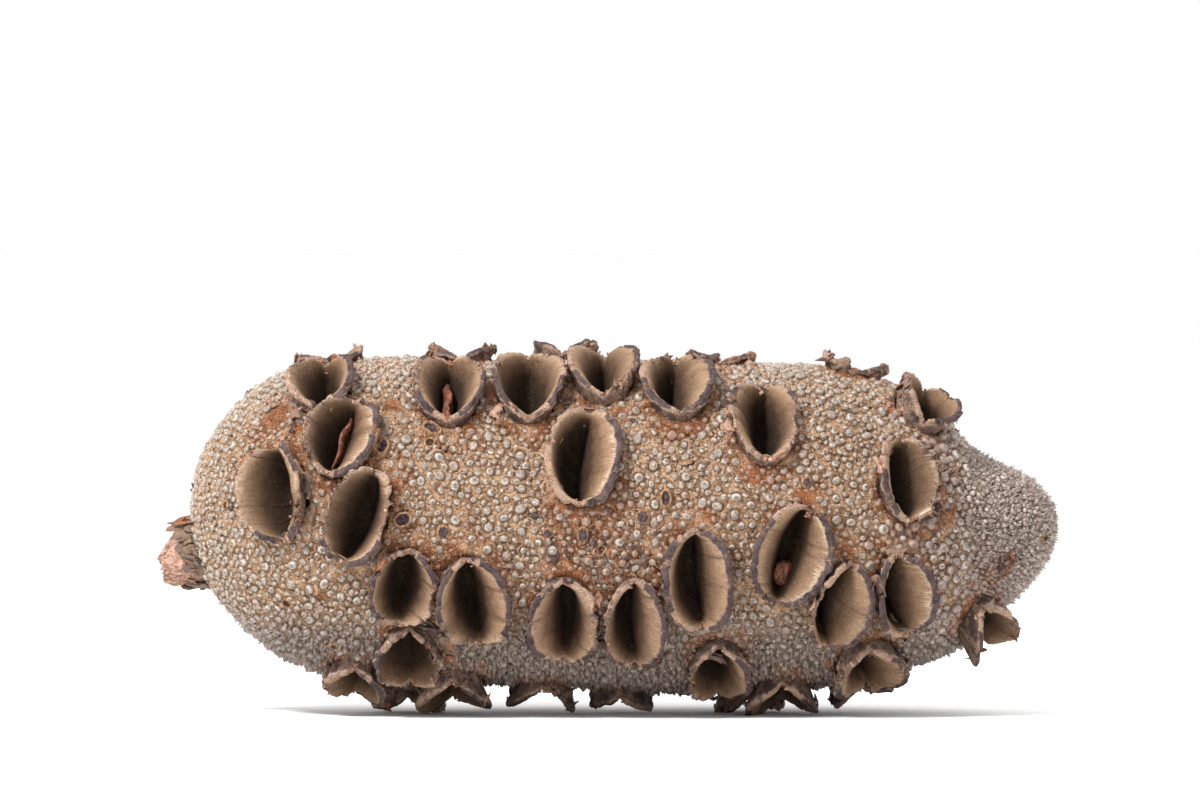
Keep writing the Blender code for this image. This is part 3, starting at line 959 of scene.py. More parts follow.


# %% [markdown]
# ### Bract finish
# The tips are silvery grey and slightly glossy, like old horn. The dimple is dark. Some tips are stained by
# the felt; those on the nose are duller and pinker. A dark ring round each pale centre makes the centre a
# painted highlight, a dark rim at each foot is painted shade, and the underside is darkened as painted shade.

# %% Bract material
bract_finish, bract_shader, start = new_material("bract_tips", 0.38)
tint = numbers(start, "tint")
ring = numbers(start, "ring")
grain = speckle(start, 0.5, 4.0, rough=0.7)
silver = mixed(tint, (0.18, 0.142, 0.115), (0.40, 0.350, 0.300))
silver = coated(
    silver,
    (grain.between(0.44, 0.64) * 0.6, (0.58, 0.53, 0.475)),
    (grain.between(0.50, 0.38) * 0.65, (0.105, 0.068, 0.048)),
)
dull = mixed(tint.between(0.2, 0.8), (0.29, 0.215, 0.185), (0.50, 0.42, 0.375))
dull = mixed(grain.between(0.48, 0.36) * 0.5, dull, (0.12, 0.082, 0.070))
silver = coated(
    silver,
    (numbers(start, "dust") * (0.6 + grain * 0.8), (0.40, 0.265, 0.175)),
    (numbers(start, "pale") * (0.02 + grain * 0.14), (0.56, 0.51, 0.44)),
    (numbers(start, "grey") * 0.85, dull),
    # Painted shade: the underside darkened
    (numbers(start, "under") * 0.55, (0.17, 0.130, 0.108)),
    (ring.between(0.44, 0.10) * tint.between(0.35, 0.55) * 0.85, (0.055, 0.040, 0.034)),
    # Painted highlight: a dark ring round each tip's pale centre makes the centre read as a highlight
    (ring.between(0.20, 0.34) * ring.between(0.54, 0.40) * 0.60, (0.095, 0.065, 0.050)),
    # Painted shade: a dark brown rim at each tip's foot, where it meets the felt
    ((ring + grain * 0.4).between(0.88, 1.14) * 0.85, (0.115, 0.060, 0.032)),
    (numbers(start, "rust") * 0.6, (0.20, 0.085, 0.040)),
)
plug(bract_shader, "Base Color", silver)
plug(bract_shader, "Roughness", 0.08 + grain * 0.36)
bumped(bract_shader, grain, 0.30, 0.7)

# %% Bract tips and their collars
# A collar has the radius, tilt and seed of the large tips, so that it fits round them
LARGE = (1.10, 0.22, 31)
SMALL = (0.90, 0.28, 32)
TINY = (0.60, 0.34, 33)
add_bracts("bract_tips", turned(DOME, 8), large, *LARGE, bract_finish, spiky=0.5)
add_bracts("small_bract_tips", turned(SMALL_DOME, 5), small, *SMALL, bract_finish, spiky=1.0, dusty=0.14)
add_bracts("tiny_bract_tips", turned(TINY_DOME, 5), tiny, *TINY, bract_finish, spiky=1.0, dusty=0.38)
add_bracts("collars", turned(COLLAR, 8, open_top=True), large, *LARGE, felt_finish, ragged=0.12)

# %% [markdown]
# ## Marks
# Here and there a bract tip is missing or odd: an open pit, an oval ring of wood left by an insect, or a
# purple plug of gum. Each kind is one section, turned like the bract tips were, and a little crumpled at
# every place.

# %% Rings, pits and plugs
RING_SECTION = (
    (0.0, 0.16),
    (0.40, 0.20),
    (0.66, 0.12),
    (0.80, 0.58),
    (0.98, 0.54),
    (1.12, -0.4),
    (0.0, -0.5),
)
PIT_SECTION = (
    (0.0, 0.03),
    (0.45, 0.04),
    (0.72, 0.10),
    (0.90, 0.40),
    (1.10, 0.30),
    (1.35, -0.4),
    (0.0, -0.5),
)
PLUG_SECTION = (
    (0.0, 0.42),
    (0.45, 0.46),
    (0.80, 0.36),
    (1.0, 0.02),
    (1.05, -0.4),
    (0.0, -0.5),
)

mark_finish, mark_shader, start = new_material("marks", 0.6, 0.25)
tint = numbers(start, "tint")
ring = numbers(start, "ring")
grain = speckle(start, 0.45, 4.0, (1.0, 1.0, 0.5), 0.7)
gum = mixed(grain.between(0.42, 0.66), (0.026, 0.013, 0.016), (0.13, 0.080, 0.078))
hollow = mixed(grain.between(0.40, 0.65), (0.012, 0.007, 0.005), (0.075, 0.035, 0.018))
rim_wood = mixed(grain.between(0.38, 0.62), (0.15, 0.065, 0.028), (0.45, 0.27, 0.15))
middle = mixed(tint, hollow, gum)
mark_colour = mixed((ring + grain * 0.2).between(0.80, 0.90), middle, rim_wood)
plug(mark_shader, "Base Color", mark_colour)
bumped(mark_shader, grain, 0.5, 1.0)


def add_marks(kind, section, tint):
    chosen = [mark for mark in MARKS if mark[4] == kind]
    spots = np.array([(travel_at(along), math.radians(around)) for along, around, _, _, _ in chosen])
    sizes = [(size * long**0.5, size / long**0.5, size) for _, _, size, long, _ in chosen]
    sizes = np.array(sizes) * 1.12
    model = turned(section, 16)
    places, turns = standing_frames(spots, 0.10, 91)
    places = places + turns[:, 2] * 0.22
    made = copied_over("marks_" + kind, model, places, turns, sizes)
    points = corners_of(made) / MM
    crumple = np.stack([ripple(points, 1.1, 92 + axis) for axis in range(3)], axis=1)
    move_corners(made, points + 0.13 * crumple)
    shape = corners_of(model)
    store(made, "ring", np.tile(np.hypot(shape[:, 0], shape[:, 1]), len(spots)))
    store(made, "tint", np.full(len(points), tint))
    bpy.data.objects.remove(model)
    finished(made, "marks_" + kind, mark_finish)
    print("marks:", len(spots), kind)


add_marks("ring", RING_SECTION, 1.0)
add_marks("pit", PIT_SECTION, 0.0)
add_marks("plug", PLUG_SECTION, 1.0)

# %% [markdown]
# ## Follicles
# A follicle is a woody cup that opened along a slot. Its section is easier to draw than its surface, so a
# flat grid is rolled up: one way round the rim, the other way along the section, which starts under the
# cup, climbs the outer wall, turns over the dark band at the rim, sweeps down the velvety valve and ends at
# the bottom of the slot. The grid is welded once, and each follicle is a copy of it with its own size, lean
# and broken edges.

# %% The cup's section
CUP_SIDES = 90
VELVET_ROWS = 7
RIM_END_SHARE = 0.5
FULLNESS = 0.88

# Each row: share of the half length, share of the half width, inset, how almond-shaped, share of the reach,
# height
SECTION = [
    (0.50, 0.00, 0.0, 0.0, 0.00, -9.8),
    (0.72, 0.42, 0.0, 0.0, 0.00, -9.4),
    (0.90, 0.68, 0.0, 0.0, 0.00, -2.4),
    (0.91, 0.76, 0.0, 0.0, 0.05, -0.3),
    (0.93, 0.84, 0.0, 0.0, 0.35, 0.0),
    (0.96, 0.92, 0.0, 0.0, 0.68, -0.3),
    (0.99, 0.985, 0.0, 0.0, 1.00, -0.95),
    (1.00, 1.00, 0.02, 0.0, 1.00, -0.46),
    (1.00, 1.00, 0.20, 0.0, 1.00, -0.12),
    (1.00, 1.00, 0.52, 0.0, 1.00, 0.0),
    (1.00, 1.00, 0.82, 0.04, 1.00, -0.10),
]
VELVET_FROM = (1.00, 1.00, 1.08, 0.08, 1.00, -0.26)
THROAT = (0.82, 0.33, 0.0, 0.42, 0.00, -2.0)
SLOT = [
    (0.76, 0.27, 0.0, 0.46, 0.00, -3.5),
    (0.62, 0.20, 0.0, 0.46, 0.00, -5.8),
    (0.48, 0.08, 0.0, 0.40, 0.00, -8.0),
    (0.40, 0.00, 0.0, 0.0, 0.00, -8.2),
]
for share in np.arange(VELVET_ROWS) / (VELVET_ROWS - 1):
    sideways = share**0.9
    downwards = share**1.55
    first, last = np.array(VELVET_FROM), np.array(THROAT)
    row = first + (last - first) * sideways
    row[4:] = first[4:] + (last[4:] - first[4:]) * downwards
    SECTION.append(tuple(row))
SECTION = np.array(SECTION + SLOT)
BAND_ROW = 6
CREST_ROW = 9
THROAT_ROW = len(SECTION) - len(SLOT) - 1
print(len(SECTION), "rows")

# %% One cup from a grid
start_fresh()
bpy.ops.mesh.primitive_grid_add(x_subdivisions=CUP_SIDES, y_subdivisions=len(SECTION) - 1, size=2.0)
cup = bpy.context.object
flat = corners_of(cup)
cup_turn = (flat[:, 0] + 1.0) * math.pi
cup_row = np.rint((flat[:, 1] + 1.0) / 2.0 * (len(SECTION) - 1)).astype(int)
store(cup, "turn", cup_turn)
store(cup, "row", cup_row)


def cup_shape(turn, row, length, width, height, skew=0.0, throat=0.30):
    """Points of a cup in its own frame; height is the rim's at each point, and skew moves the slot."""
    a, b, inset, almond, lifted, level = SECTION[row].T
    inner = np.where(row > CREST_ROW, np.clip((1.0 - b) / 0.70, 0.0, 1.0), row <= 2)
    b = b * (1.0 + (throat / 0.30 - 1.0) * inner)
    x = (a * length / 2 - inset) * np.sign(np.cos(turn)) * np.abs(np.cos(turn)) ** FULLNESS
    y = b * width / 2 - inset * np.minimum(b * 50.0, 1.0)
    y *= np.sign(np.sin(turn)) * np.abs(np.sin(turn)) ** FULLNESS
    y *= 1.0 - almond * np.cos(turn) ** 2
    y += skew * width / 2 * inner * (1.0 - 0.7 * np.cos(turn) ** 2)
    return np.stack((x, y, level + lifted * height), axis=1)


move_corners(cup, cup_shape(cup_turn, cup_row, 20.0, 14.0, 5.0))
bpy.ops.object.mode_set(mode="EDIT")
bpy.ops.mesh.select_all(action="SELECT")
bpy.ops.mesh.remove_doubles(threshold=0.000002)
bpy.ops.mesh.normals_make_consistent(inside=False)
bpy.ops.object.mode_set(mode="OBJECT")


def read_back(thing, name):
    values = np.empty(len(thing.data.vertices), np.float32)
    thing.data.attributes[name].data.foreach_get("value", values)
    return values.astype(float)


cup_turn = read_back(cup, "turn")
cup_row = np.rint(read_back(cup, "row")).astype(int)
cup_side = np.rint(cup_turn / (2 * math.pi) * CUP_SIDES).astype(int) % CUP_SIDES
print("one cup:", len(cup.data.polygons), "faces")

# %% [markdown]
# ### Follicle finish
# The row of the section tells the material where it is: flaky bark on the outer wall, a thin pale edge, a
# dark purple-grey band on the rim, pale torn wood where the rim has broken away, and brown velvet that
# darkens into the slot, partly its own darker brown and partly painted shade, near-black at the bottom. One
# valve of each follicle is also painted darker than the other, as painted shade. Fine streaks run down the
# velvet, across the slot, so they follow the cup's own UV map.

# %% Follicle material
follicle_finish, follicle_shader, start = new_material("follicle_wood", 0.75, 0.15)
row = numbers(start, "row")
torn = numbers(start, "torn")
patches = speckle(start, 2.6, 5.0, rough=0.65)
fine = speckle(start, 0.32, 3.0)
sheet = start.add("UVMap", {}, {})
streaks = start.add("Mapping", {}, {"Vector": sheet, "Scale": (190.0, 5.0, 1.0)})
streaks = start.add("TexNoise", {}, {"Vector": streaks, "Scale": 1.0, "Detail": 3.0, "Roughness": 0.6})
inward = row.between(CREST_ROW + 0.5, THROAT_ROW + 1.6)
# The velvet darkens towards the throat to near-black in the slot: partly its own darker brown, partly painted
# shade
velvet = ramp(
    inward + (patches - 0.5) * 0.42,
    (
        (0.0, (0.395, 0.262, 0.178)),
        (0.30, (0.292, 0.180, 0.110)),
        (0.54, (0.146, 0.083, 0.047)),
        (0.75, (0.032, 0.016, 0.010)),
        (1.0, (0.004, 0.0025, 0.002)),
    ),
)
velvet = coated(
    velvet,
    # Painted shade: one valve of each follicle darkened more than the other
    (numbers(start, "tone") * 0.52, (0.068, 0.043, 0.026)),
    (streaks.between(0.44, 0.66) * 0.46, (0.085, 0.05, 0.030)),
    (patches.between(0.52, 0.62) * inward.between(0.30, 0.0) * 0.6, (0.52, 0.41, 0.29)),
    (fine.between(0.46, 0.36) * 0.50, (0.070, 0.040, 0.024)),
)
worn = (inward + (streaks - 0.5) * 0.4 + (patches - 0.5) * 0.6).between(0.26, 0.06)
velvet = coated(
    velvet,
    (numbers(start, "cream") * worn * 0.75, (0.60, 0.49, 0.375)),
    (fine.between(0.58, 0.72) * 0.30, (0.38, 0.27, 0.165)),
    (fine.between(0.69, 0.73) * 0.6, (0.36, 0.28, 0.20)),
)
bark = mixed(patches.between(0.42, 0.60), (0.060, 0.038, 0.034), (0.24, 0.155, 0.115))
bark = mixed(fine.between(0.55, 0.42) * 0.5, bark, (0.04, 0.022, 0.018))
band = mixed(patches.between(0.35, 0.65), (0.024, 0.014, 0.015), (0.088, 0.060, 0.060))
band = mixed(fine.between(0.53, 0.68) * 0.6, band, (0.17, 0.120, 0.105))
broken = mixed(fine.between(0.40, 0.60), (0.090, 0.045, 0.030), (0.42, 0.275, 0.20))
broken = mixed(fine.between(0.62, 0.70) * 0.7, broken, (0.68, 0.52, 0.41))
edge = mixed(patches.between(0.40, 0.56), (0.085, 0.052, 0.042), (0.36, 0.245, 0.185))
ragged = row + (patches - 0.5) * 2.2 + (streaks - 0.5) * 0.8
banded = (numbers(start, "band") + (fine - 0.5) * 0.8).between(0.32, 0.50)
outside = mixed(row.between(BAND_ROW - 0.6, BAND_ROW + 0.4), bark, edge)
outside = mixed(ragged.between(BAND_ROW + 0.9, BAND_ROW + 1.5) * banded, outside, band)
wood = mixed((ragged - banded * 1.8).between(CREST_ROW + 0.1, CREST_ROW + 0.5), outside, velvet)
lip = row.between(BAND_ROW, BAND_ROW + 1.0) * row.between(CREST_ROW + 1.6, CREST_ROW + 0.4)
wood = coated(
    wood,
    (lip * (1.0 - banded) * fine.between(0.36, 0.48) * 0.85, broken),
    (torn * row.between(CREST_ROW + 3.4, CREST_ROW + 1.0), broken),
)
plug(follicle_shader, "Base Color", wood)
plug(follicle_shader, "Roughness", 0.50 + fine * 0.35)
bumped(follicle_shader, fine * 0.6 + streaks * 0.45 + torn * fine * 1.5 + patches * 0.5, 0.5, 0.8)


# %% [markdown]
# ### Broken rims
# No two rims broke alike. Around each one we draw a random outline: soft waves, then chips a millimetre
# deep, then a few narrow cracks. Where a stretch of rim is torn away, the edge is lower, rougher and pale.
# At both ends of the slot the valves meet in a small notch full of crumbs.


# %% Every follicle
def round_noise(draw, softness):
    """Random numbers round the rim, softened so that neighbours are alike."""
    wide = draw.normal(size=CUP_SIDES)
    reach = np.arange(-CUP_SIDES // 2, CUP_SIDES // 2)
    weight = np.exp(-((reach / softness) ** 2))
    soft = np.array([np.sum(np.roll(wide, -n)[reach] * weight) for n in range(CUP_SIDES)])
    return soft / soft.std()


def broken_rim(breaks, draw):
    """1 on the stretches of rim that are broken away, with ragged ends."""
    degrees = np.arange(CUP_SIDES) * 360.0 / CUP_SIDES + 4.0 * round_noise(draw, 2.0)
    gone = np.zeros(CUP_SIDES)
    for low, high in breaks:
        rising = smooth_step(degrees, low - 4.0, low + 2.0)
        gone = np.maximum(gone, rising * smooth_step(-degrees, -high - 4.0, -high + 2.0))
    return gone


rims = []
for number, (follicle, (place, axes)) in enumerate(zip(FOLLICLES, SEATS), start=1):
    along, _, length, width, reach, _, breaks = follicle
    draw = np.random.default_rng(100 + number)
    if not breaks and draw.uniform() < 0.7:
        middle = draw.uniform(20, 340)
        breaks = ((middle - draw.uniform(8, 30), middle + draw.uniform(8, 30)),)
    gone = broken_rim(breaks, draw)
    away, wide = draw.uniform((30, 60), (300, 120))
    banded = broken_rim(BANDS.get(number, ((away - wide, away + wide), (away + 90, away + 150))), draw)
    skew, throat = SLOTS.get(number, draw.uniform((-0.35, 0.24), (0.35, 0.38)))
    # How dark each valve is painted as shade; the follicles not listed get random values
    left, right = VALVE_SHADES.get(number, draw.uniform(0.0, 0.5, 2))
    cream = broken_rim(CREAM.get(number, ()), draw)
    chips = np.maximum(round_noise(draw, 1.4) - 0.75, 0.0)
    chips = np.minimum(chips * draw.uniform(0.35, 0.8), 1.0)
    rough = round_noise(draw, 0.8)
    soft = round_noise(draw, 5.0)
    cracks = np.zeros(CUP_SIDES)
    cracks[draw.choice(CUP_SIDES, 9, replace=False)] = draw.uniform(0.3, 1.2, 9)
    sines = np.abs(np.sin(np.arange(CUP_SIDES) * 2 * math.pi / CUP_SIDES))
    ends = np.exp(-((sines / 0.10) ** 2))
    valves = np.where(np.arange(CUP_SIDES) * 2 < CUP_SIDES, *draw.uniform(0.88, 1.06, 2))
    arch = RIM_END_SHARE + (1 - RIM_END_SHARE) * sines**0.7
    height = reach * arch * (1 + (valves - 1) * sines) + 0.28 * soft - 0.55 * chips - 0.5 * cracks
    height = height + gone * (-0.5 + 0.35 * rough) - 0.5 * ends * draw.uniform(0.3, 1.6)
    inwards = 0.16 * rough + 0.20 * soft + chips + 0.5 * cracks + gone * (0.75 + 0.30 * rough)
    rims.append((height, gone, inwards))

    side = cup_side
    points = cup_shape(cup_turn, cup_row, length, width, height[side], skew, throat)
    rim_rows = (BAND_ROW - 3, BAND_ROW, CREST_ROW - 1, CREST_ROW + 3)
    near_rim = np.interp(cup_row, rim_rows, (0.0, 1.0, 0.9, 0.0))
    radius = np.hypot(points[:, 0], points[:, 1]) + 1e-6
    points[:, :2] *= (1.0 - near_rim * inwards[side] / radius)[:, None]
    on_velvet = (cup_row > CREST_ROW) & (cup_row <= THROAT_ROW)
    points[:, 2] += np.where(on_velvet, 0.03 * rough[side] - 0.25 * cracks[side], 0.0)
    torn_here = near_rim * gone[side]
    points[:, 2] += draw.normal(0.0, 1.0, len(points)) * (0.10 * near_rim + 0.18 * torn_here)
    points[:, 2] -= points[:, 0] ** 2 / bend_at(along)
    placed = place + points @ axes
    placed[:, 2] = np.maximum(placed[:, 2], FOLLICLE_FLOOR)
    thing = bpy.data.objects.new("follicle", cup.data.copy())
    bpy.context.scene.collection.objects.link(thing)
    move_corners(thing, placed)
    store(thing, "torn", np.clip(np.maximum(gone, 0.75 * ends)[side] + 0.8 * cracks[side], 0.0, 1.0))
    store(thing, "band", banded[side] * (1.0 - gone[side]))
    store(thing, "cream", cream[side])
    # Painted shade: how dark each valve is, left and right
    store(thing, "tone", right + (left - right) * smooth_step(np.sin(cup_turn), -0.3, 0.3))
    finished(thing, f"follicle_{number:02d}", follicle_finish)
bpy.data.objects.remove(cup)
print(len(FOLLICLES), "follicles in place")

# %% [markdown]
# ## Flakes and crumbs
# Bark peels off the outside of each rim in thin flakes, and the torn edges shed crumbs that lodge at the
# ends of the slots. One bent flake and one lumpy crumb are enough: each copy is stretched, turned and
# coloured by itself.


# %% A flake and a crumb
def random_turns(count, draw):
    """Axes that point anywhere."""
    first = unit(draw.normal(size=(count, 3)))
    second = unit(np.cross(first, draw.normal(size=(count, 3))))
    return np.stack((first, second, np.cross(first, second)), axis=1)


def make_flake():
    start_fresh()
    bpy.ops.mesh.primitive_grid_add(x_subdivisions=3, y_subdivisions=3, size=2.0)
    model = bpy.context.object
    sheet = model.modifiers.new("thickness", "SOLIDIFY")
    sheet.thickness = 0.16
    bpy.ops.object.modifier_apply(modifier=sheet.name)
    shape = corners_of(model)
    draw = np.random.default_rng(8)
    shape[:, :2] += 0.30 * np.sin(shape[:, [1, 0]] * 2.3 + 0.7)
    shape[:, 2] += 0.22 * shape[:, 0] ** 2 - 0.15 * shape[:, 1] + draw.normal(0.0, 0.03, len(shape))
    model.data.vertices.foreach_set("co", shape.astype(np.float32).ravel())
    return model


def make_crumb():
    start_fresh()
    bpy.ops.mesh.primitive_ico_sphere_add(subdivisions=1, radius=1.0)
    model = bpy.context.object
    draw = np.random.default_rng(9)
    shape = corners_of(model) * draw.uniform(0.6, 1.25, (len(model.data.vertices), 1))
    model.data.vertices.foreach_set("co", shape.astype(np.float32).ravel())
    return model


def scatter(name, model, places, turns, sizes, tints, finish):
    made = copied_over(name, model, places, turns, sizes)
    store(made, "tint", np.repeat(tints, len(model.data.vertices)))
    bpy.data.objects.remove(model)
    finished(made, name, finish)
    print(name, len(made.data.polygons), "faces")


# %% Their finish
crumb_finish, crumb_shader, start = new_material("crumbs_and_flakes", 0.8, 0.2)
tint = numbers(start, "tint")
grain = speckle(start, 0.4, 3.0)
crumbly = ramp(
    tint,
    (
        (0.0, (0.040, 0.024, 0.024)),
        (0.20, (0.100, 0.062, 0.052)),
        (0.35, (0.205, 0.150, 0.112)),
        (0.50, (0.26, 0.090, 0.034)),
        (0.70, (0.36, 0.20, 0.135)),
        (1.0, (0.62, 0.43, 0.33)),
    ),
)
crumbly = mixed(grain.between(0.45, 0.65) * 0.5, crumbly, (0.10, 0.055, 0.04))
plug(crumb_shader, "Base Color", crumbly)
bumped(crumb_shader, grain, 0.3, 0.8)

# %% Flakes on the rims, crumbs in the slots' ends
FLAKES_EACH = 18
CRUMBS_EACH = 24
WALL_FOOT = 0.80
WALL_REACH = 0.2

draw = np.random.default_rng(41)
flakes, crumbs = [], []
for follicle, (place, axes), (height, gone, inwards) in zip(FOLLICLES, SEATS, rims):
    along, _, length, width, _, _, _ = follicle
    bend = bend_at(along)
    for _ in range(FLAKES_EACH):
        side = draw.integers(CUP_SIDES)
        turn = side * 2 * math.pi / CUP_SIDES
        outward = np.array((math.cos(turn) * width, math.sin(turn) * length, 0.0))
        outward /= np.linalg.norm(outward)
        share = draw.uniform(0.86, 0.985)
        spot = np.array((math.cos(turn) * length / 2, math.sin(turn) * width / 2, 0.0)) * share
        spot[2] = height[side] * (share - WALL_FOOT) / WALL_REACH * 0.95 - spot[0] ** 2 / bend
        spot -= outward * inwards[side] * (share - WALL_FOOT) / WALL_REACH
        up = np.array((0.0, 0.0, 1.0))
        face = outward + up * draw.uniform(-0.5, 0.5)
        face /= np.linalg.norm(face)
        tangent = np.cross(up, outward)
        tangent += draw.normal(0.0, 0.25, 3)
        tangent -= face * (tangent @ face)
        tangent /= np.linalg.norm(tangent)
        turned_axes = np.stack((tangent, np.cross(face, tangent), face)) @ axes
        size = draw.uniform(0.35, 1.25)
        sizes = (size * draw.uniform(0.8, 1.7), size * draw.uniform(0.6, 1.1), size)
        tint = draw.uniform(0.0, 0.42) + 0.4 * (draw.uniform() < 0.3)
        flakes.append((place + (spot + outward * 0.15) @ axes, turned_axes, sizes, tint))
    for _ in range(CRUMBS_EACH):
        at_end = draw.uniform() < 0.5
        if at_end:
            turn = draw.choice((0.0, math.pi)) + draw.normal(0.0, 0.10)
        else:
            turn = draw.uniform(0, 2 * math.pi)
        side = round(turn / (2 * math.pi) * CUP_SIDES) % CUP_SIDES
        if not at_end and gone[side] < 0.5:
            continue
        share = draw.uniform(0.91, 0.98)
        spot = np.array((math.cos(turn) * length / 2, math.sin(turn) * width / 2, 0.0))
        spot *= share - inwards[side] / np.linalg.norm(spot)
        spot[2] = height[side] * smooth_step(share, WALL_FOOT, 0.96) - 0.15 - spot[0] ** 2 / bend
        size = draw.uniform(0.14, 0.36)
        sizes = size * draw.uniform(0.7, 1.6, 3)
        crumbs.append((place + spot @ axes, random_turns(1, draw)[0], sizes, draw.uniform(0.40, 0.86)))

for name, model, pieces in (("bark_flakes", make_flake(), flakes), ("rim_crumbs", make_crumb(), crumbs)):
    places, turns, sizes, tints = (np.array(column) for column in zip(*pieces))
    scatter(name, model, places, turns, sizes, tints, crumb_finish)

# %% [markdown]
# ## Litter and plates of bark
# Old cones collect litter. It is drawn in clusters, where the photograph shows it, and thinly everywhere
# else. The biggest pieces are plates of bark that were pushed up when the follicles opened. Each is two
# flakes, one on the other. All of it uses the same flake.

# %% Litter caught in the felt
# Along, around, how far it spreads in millimetres, and how many flakes
LITTER = (
    (-6.5, -2.0, 4.5, 46),
    (-1.0, -8.0, 4.0, 40),
    (3.5, -10.0, 3.0, 26),
    (63.0, 8.0, 4.0, 22),
    (-21.5, 45.0, 2.5, 12),
    (-8.0, 50.0, 2.5, 12),
    (-33.0, -36.0, 3.0, 26),
    (-36.0, -38.0, 2.5, 18),
    (30.0, -62.0, 4.0, 14),
    (-55.0, 40.0, 3.0, 10),
    (-50.0, 17.0, 2.0, 10),
    (51.0, -42.0, 3.0, 16),
    (66.5, 36.0, 2.2, 26),
    (67.0, 18.0, 2.0, 22),
    (78.5, -20.0, 1.6, 14),
    (-61.0, 30.0, 2.4, 12),
    (-30.0, 140.0, 4.0, 20),
    (10.0, 190.0, 5.0, 24),
)
draw = np.random.default_rng(45)
spots = []
for along, around, spread, count in LITTER:
    angles = math.radians(around) + draw.normal(0.0, spread / 30.0, count)
    spots += list(zip(travel_at(along) + draw.normal(0.0, spread, count), angles))
spots += list(zip(draw.uniform(4.0, LENGTH - 20.0, 120), draw.uniform(0, 2 * math.pi, 120)))
spots = np.array(spots)
spots = spots[nearness(on_spike(spots[:, 0], spots[:, 1])[0], 0.6)[0] > 1.0]
places, turns = standing_frames(spots, 0.35, 46)
size = draw.uniform(0.25, 0.95, len(spots))
long = size * draw.uniform(0.8, 1.5, len(spots))
wide = size * draw.uniform(0.4, 0.9, len(spots))
sizes = np.stack((long, wide, size), axis=1)
places = places + turns[:, 2] * 0.45
tints = draw.uniform(0.0, 0.62, len(spots))
scatter("litter", make_flake(), places, turns, sizes, tints, crumb_finish)

# %% Plates of bark pushed up beside the follicles
# Along, around, length, width, how far turned from upright in degrees, and tint
PLATES = (
    (-61.4, 44.0, 6.0, 3.0, 8, 0.32),
    (-59.0, 13.0, 4.4, 1.8, 6, 0.32),
    (-58.2, 2.0, 4.0, 1.8, 12, 0.34),
    (-44.2, 34.0, 3.6, 2.2, 30, 0.30),
    (-22.9, 52.0, 6.0, 2.8, -6, 0.40),
    (-22.0, 44.0, 4.0, 2.4, 20, 0.72),
    (24.2, 38.0, 3.8, 2.4, -10, 0.70),
    (23.6, 48.0, 2.8, 2.2, 5, 0.02),
    (-35.5, -38.0, 3.0, 5.0, 12, 0.10),
    (-31.6, -46.0, 4.6, 2.8, -10, 0.36),
    (-31.2, -54.0, 4.6, 3.0, 15, 0.40),
    (-31.8, -62.0, 4.0, 2.8, -20, 0.34),
    (-2.4, -34.0, 3.4, 2.2, 10, 0.02),
    (-1.0, -43.0, 3.6, 2.2, -12, 0.08),
    (-1.6, -26.0, 3.0, 1.8, 24, 0.66),
    (52.6, -21.0, 4.4, 2.2, 10, 0.70),
    (51.6, -30.0, 3.6, 2.0, -16, 0.06),
    (21.0, -49.0, 2.4, 4.2, 4, 0.20),
    (34.8, -70.0, 2.6, 3.6, 0, 0.20),
    (52.2, -53.0, 2.6, 2.8, 0, 0.20),
    (-30.0, 122.0, 5.0, 2.4, 8, 0.38),
    (-10.0, 170.0, 4.6, 2.6, -10, 0.60),
    (27.0, 165.0, 4.4, 2.2, 14, 0.40),
    (-41.0, 190.0, 4.8, 2.4, 6, 0.34),
    (12.0, 226.0, 4.6, 2.4, -12, 0.62),
)
draw = np.random.default_rng(47)
plates = []
for along, around, long, wide, spin, tint in PLATES:
    for layer in range(2):
        place, out = on_spike(travel_at(along), math.radians(around), 0.5 + 0.35 * layer)
        spun = math.radians(spin) + draw.normal(0.0, 0.2)
        upright = np.array((0.0, math.sin(math.radians(around)), math.cos(math.radians(around))))
        upright = upright * math.cos(spun) + np.array((math.sin(spun), 0.0, 0.0))
        upright = upright + draw.normal(0.0, 0.12, 3)
        out = out + draw.normal(0.0, 0.22, 3)
        out /= np.linalg.norm(out)
        upright -= out * (upright @ out)
        upright /= np.linalg.norm(upright)
        shrink = draw.uniform(0.6, 0.8) if layer else 1.0
        sizes = (long / 2 * shrink, wide / 2 * shrink, 1.6)
        plates.append((place, np.stack((upright, np.cross(out, upright), out)), sizes, tint + 0.06 * layer))
places, turns, sizes, tints = (np.array(column) for column in zip(*plates))
scatter("bark_plates", make_flake(), places, turns, sizes, tints, crumb_finish)

# %% [markdown]
# ## Felt fibres
# Close up, the felt is a tangle of short hairs. A hair is a slim pyramid with three sides. Thousands of
# them lie at all slants between the bracts; near the follicles, where the fuzz is rusty, they are longer
# and thicker.

# %% Fibres between the bracts
FIBRES = 56000


def fibre_spots(count, seed):
    draw = np.random.default_rng(seed)
    found = []
    while sum(len(part) for part in found) < count:
        travel = draw.uniform(0.5, LENGTH - 0.5, count)
        keep = draw.uniform(0.0, RADIUS.max(), count) < radius_at(travel)
        around = draw.uniform(0, 2 * math.pi, count)
        spots = np.stack((travel, around, np.full(count, BRACT_STEP)), axis=1)[keep]
        found.append(clear_of_follicles(spots, 0.2))
    return np.concatenate(found)[:count]


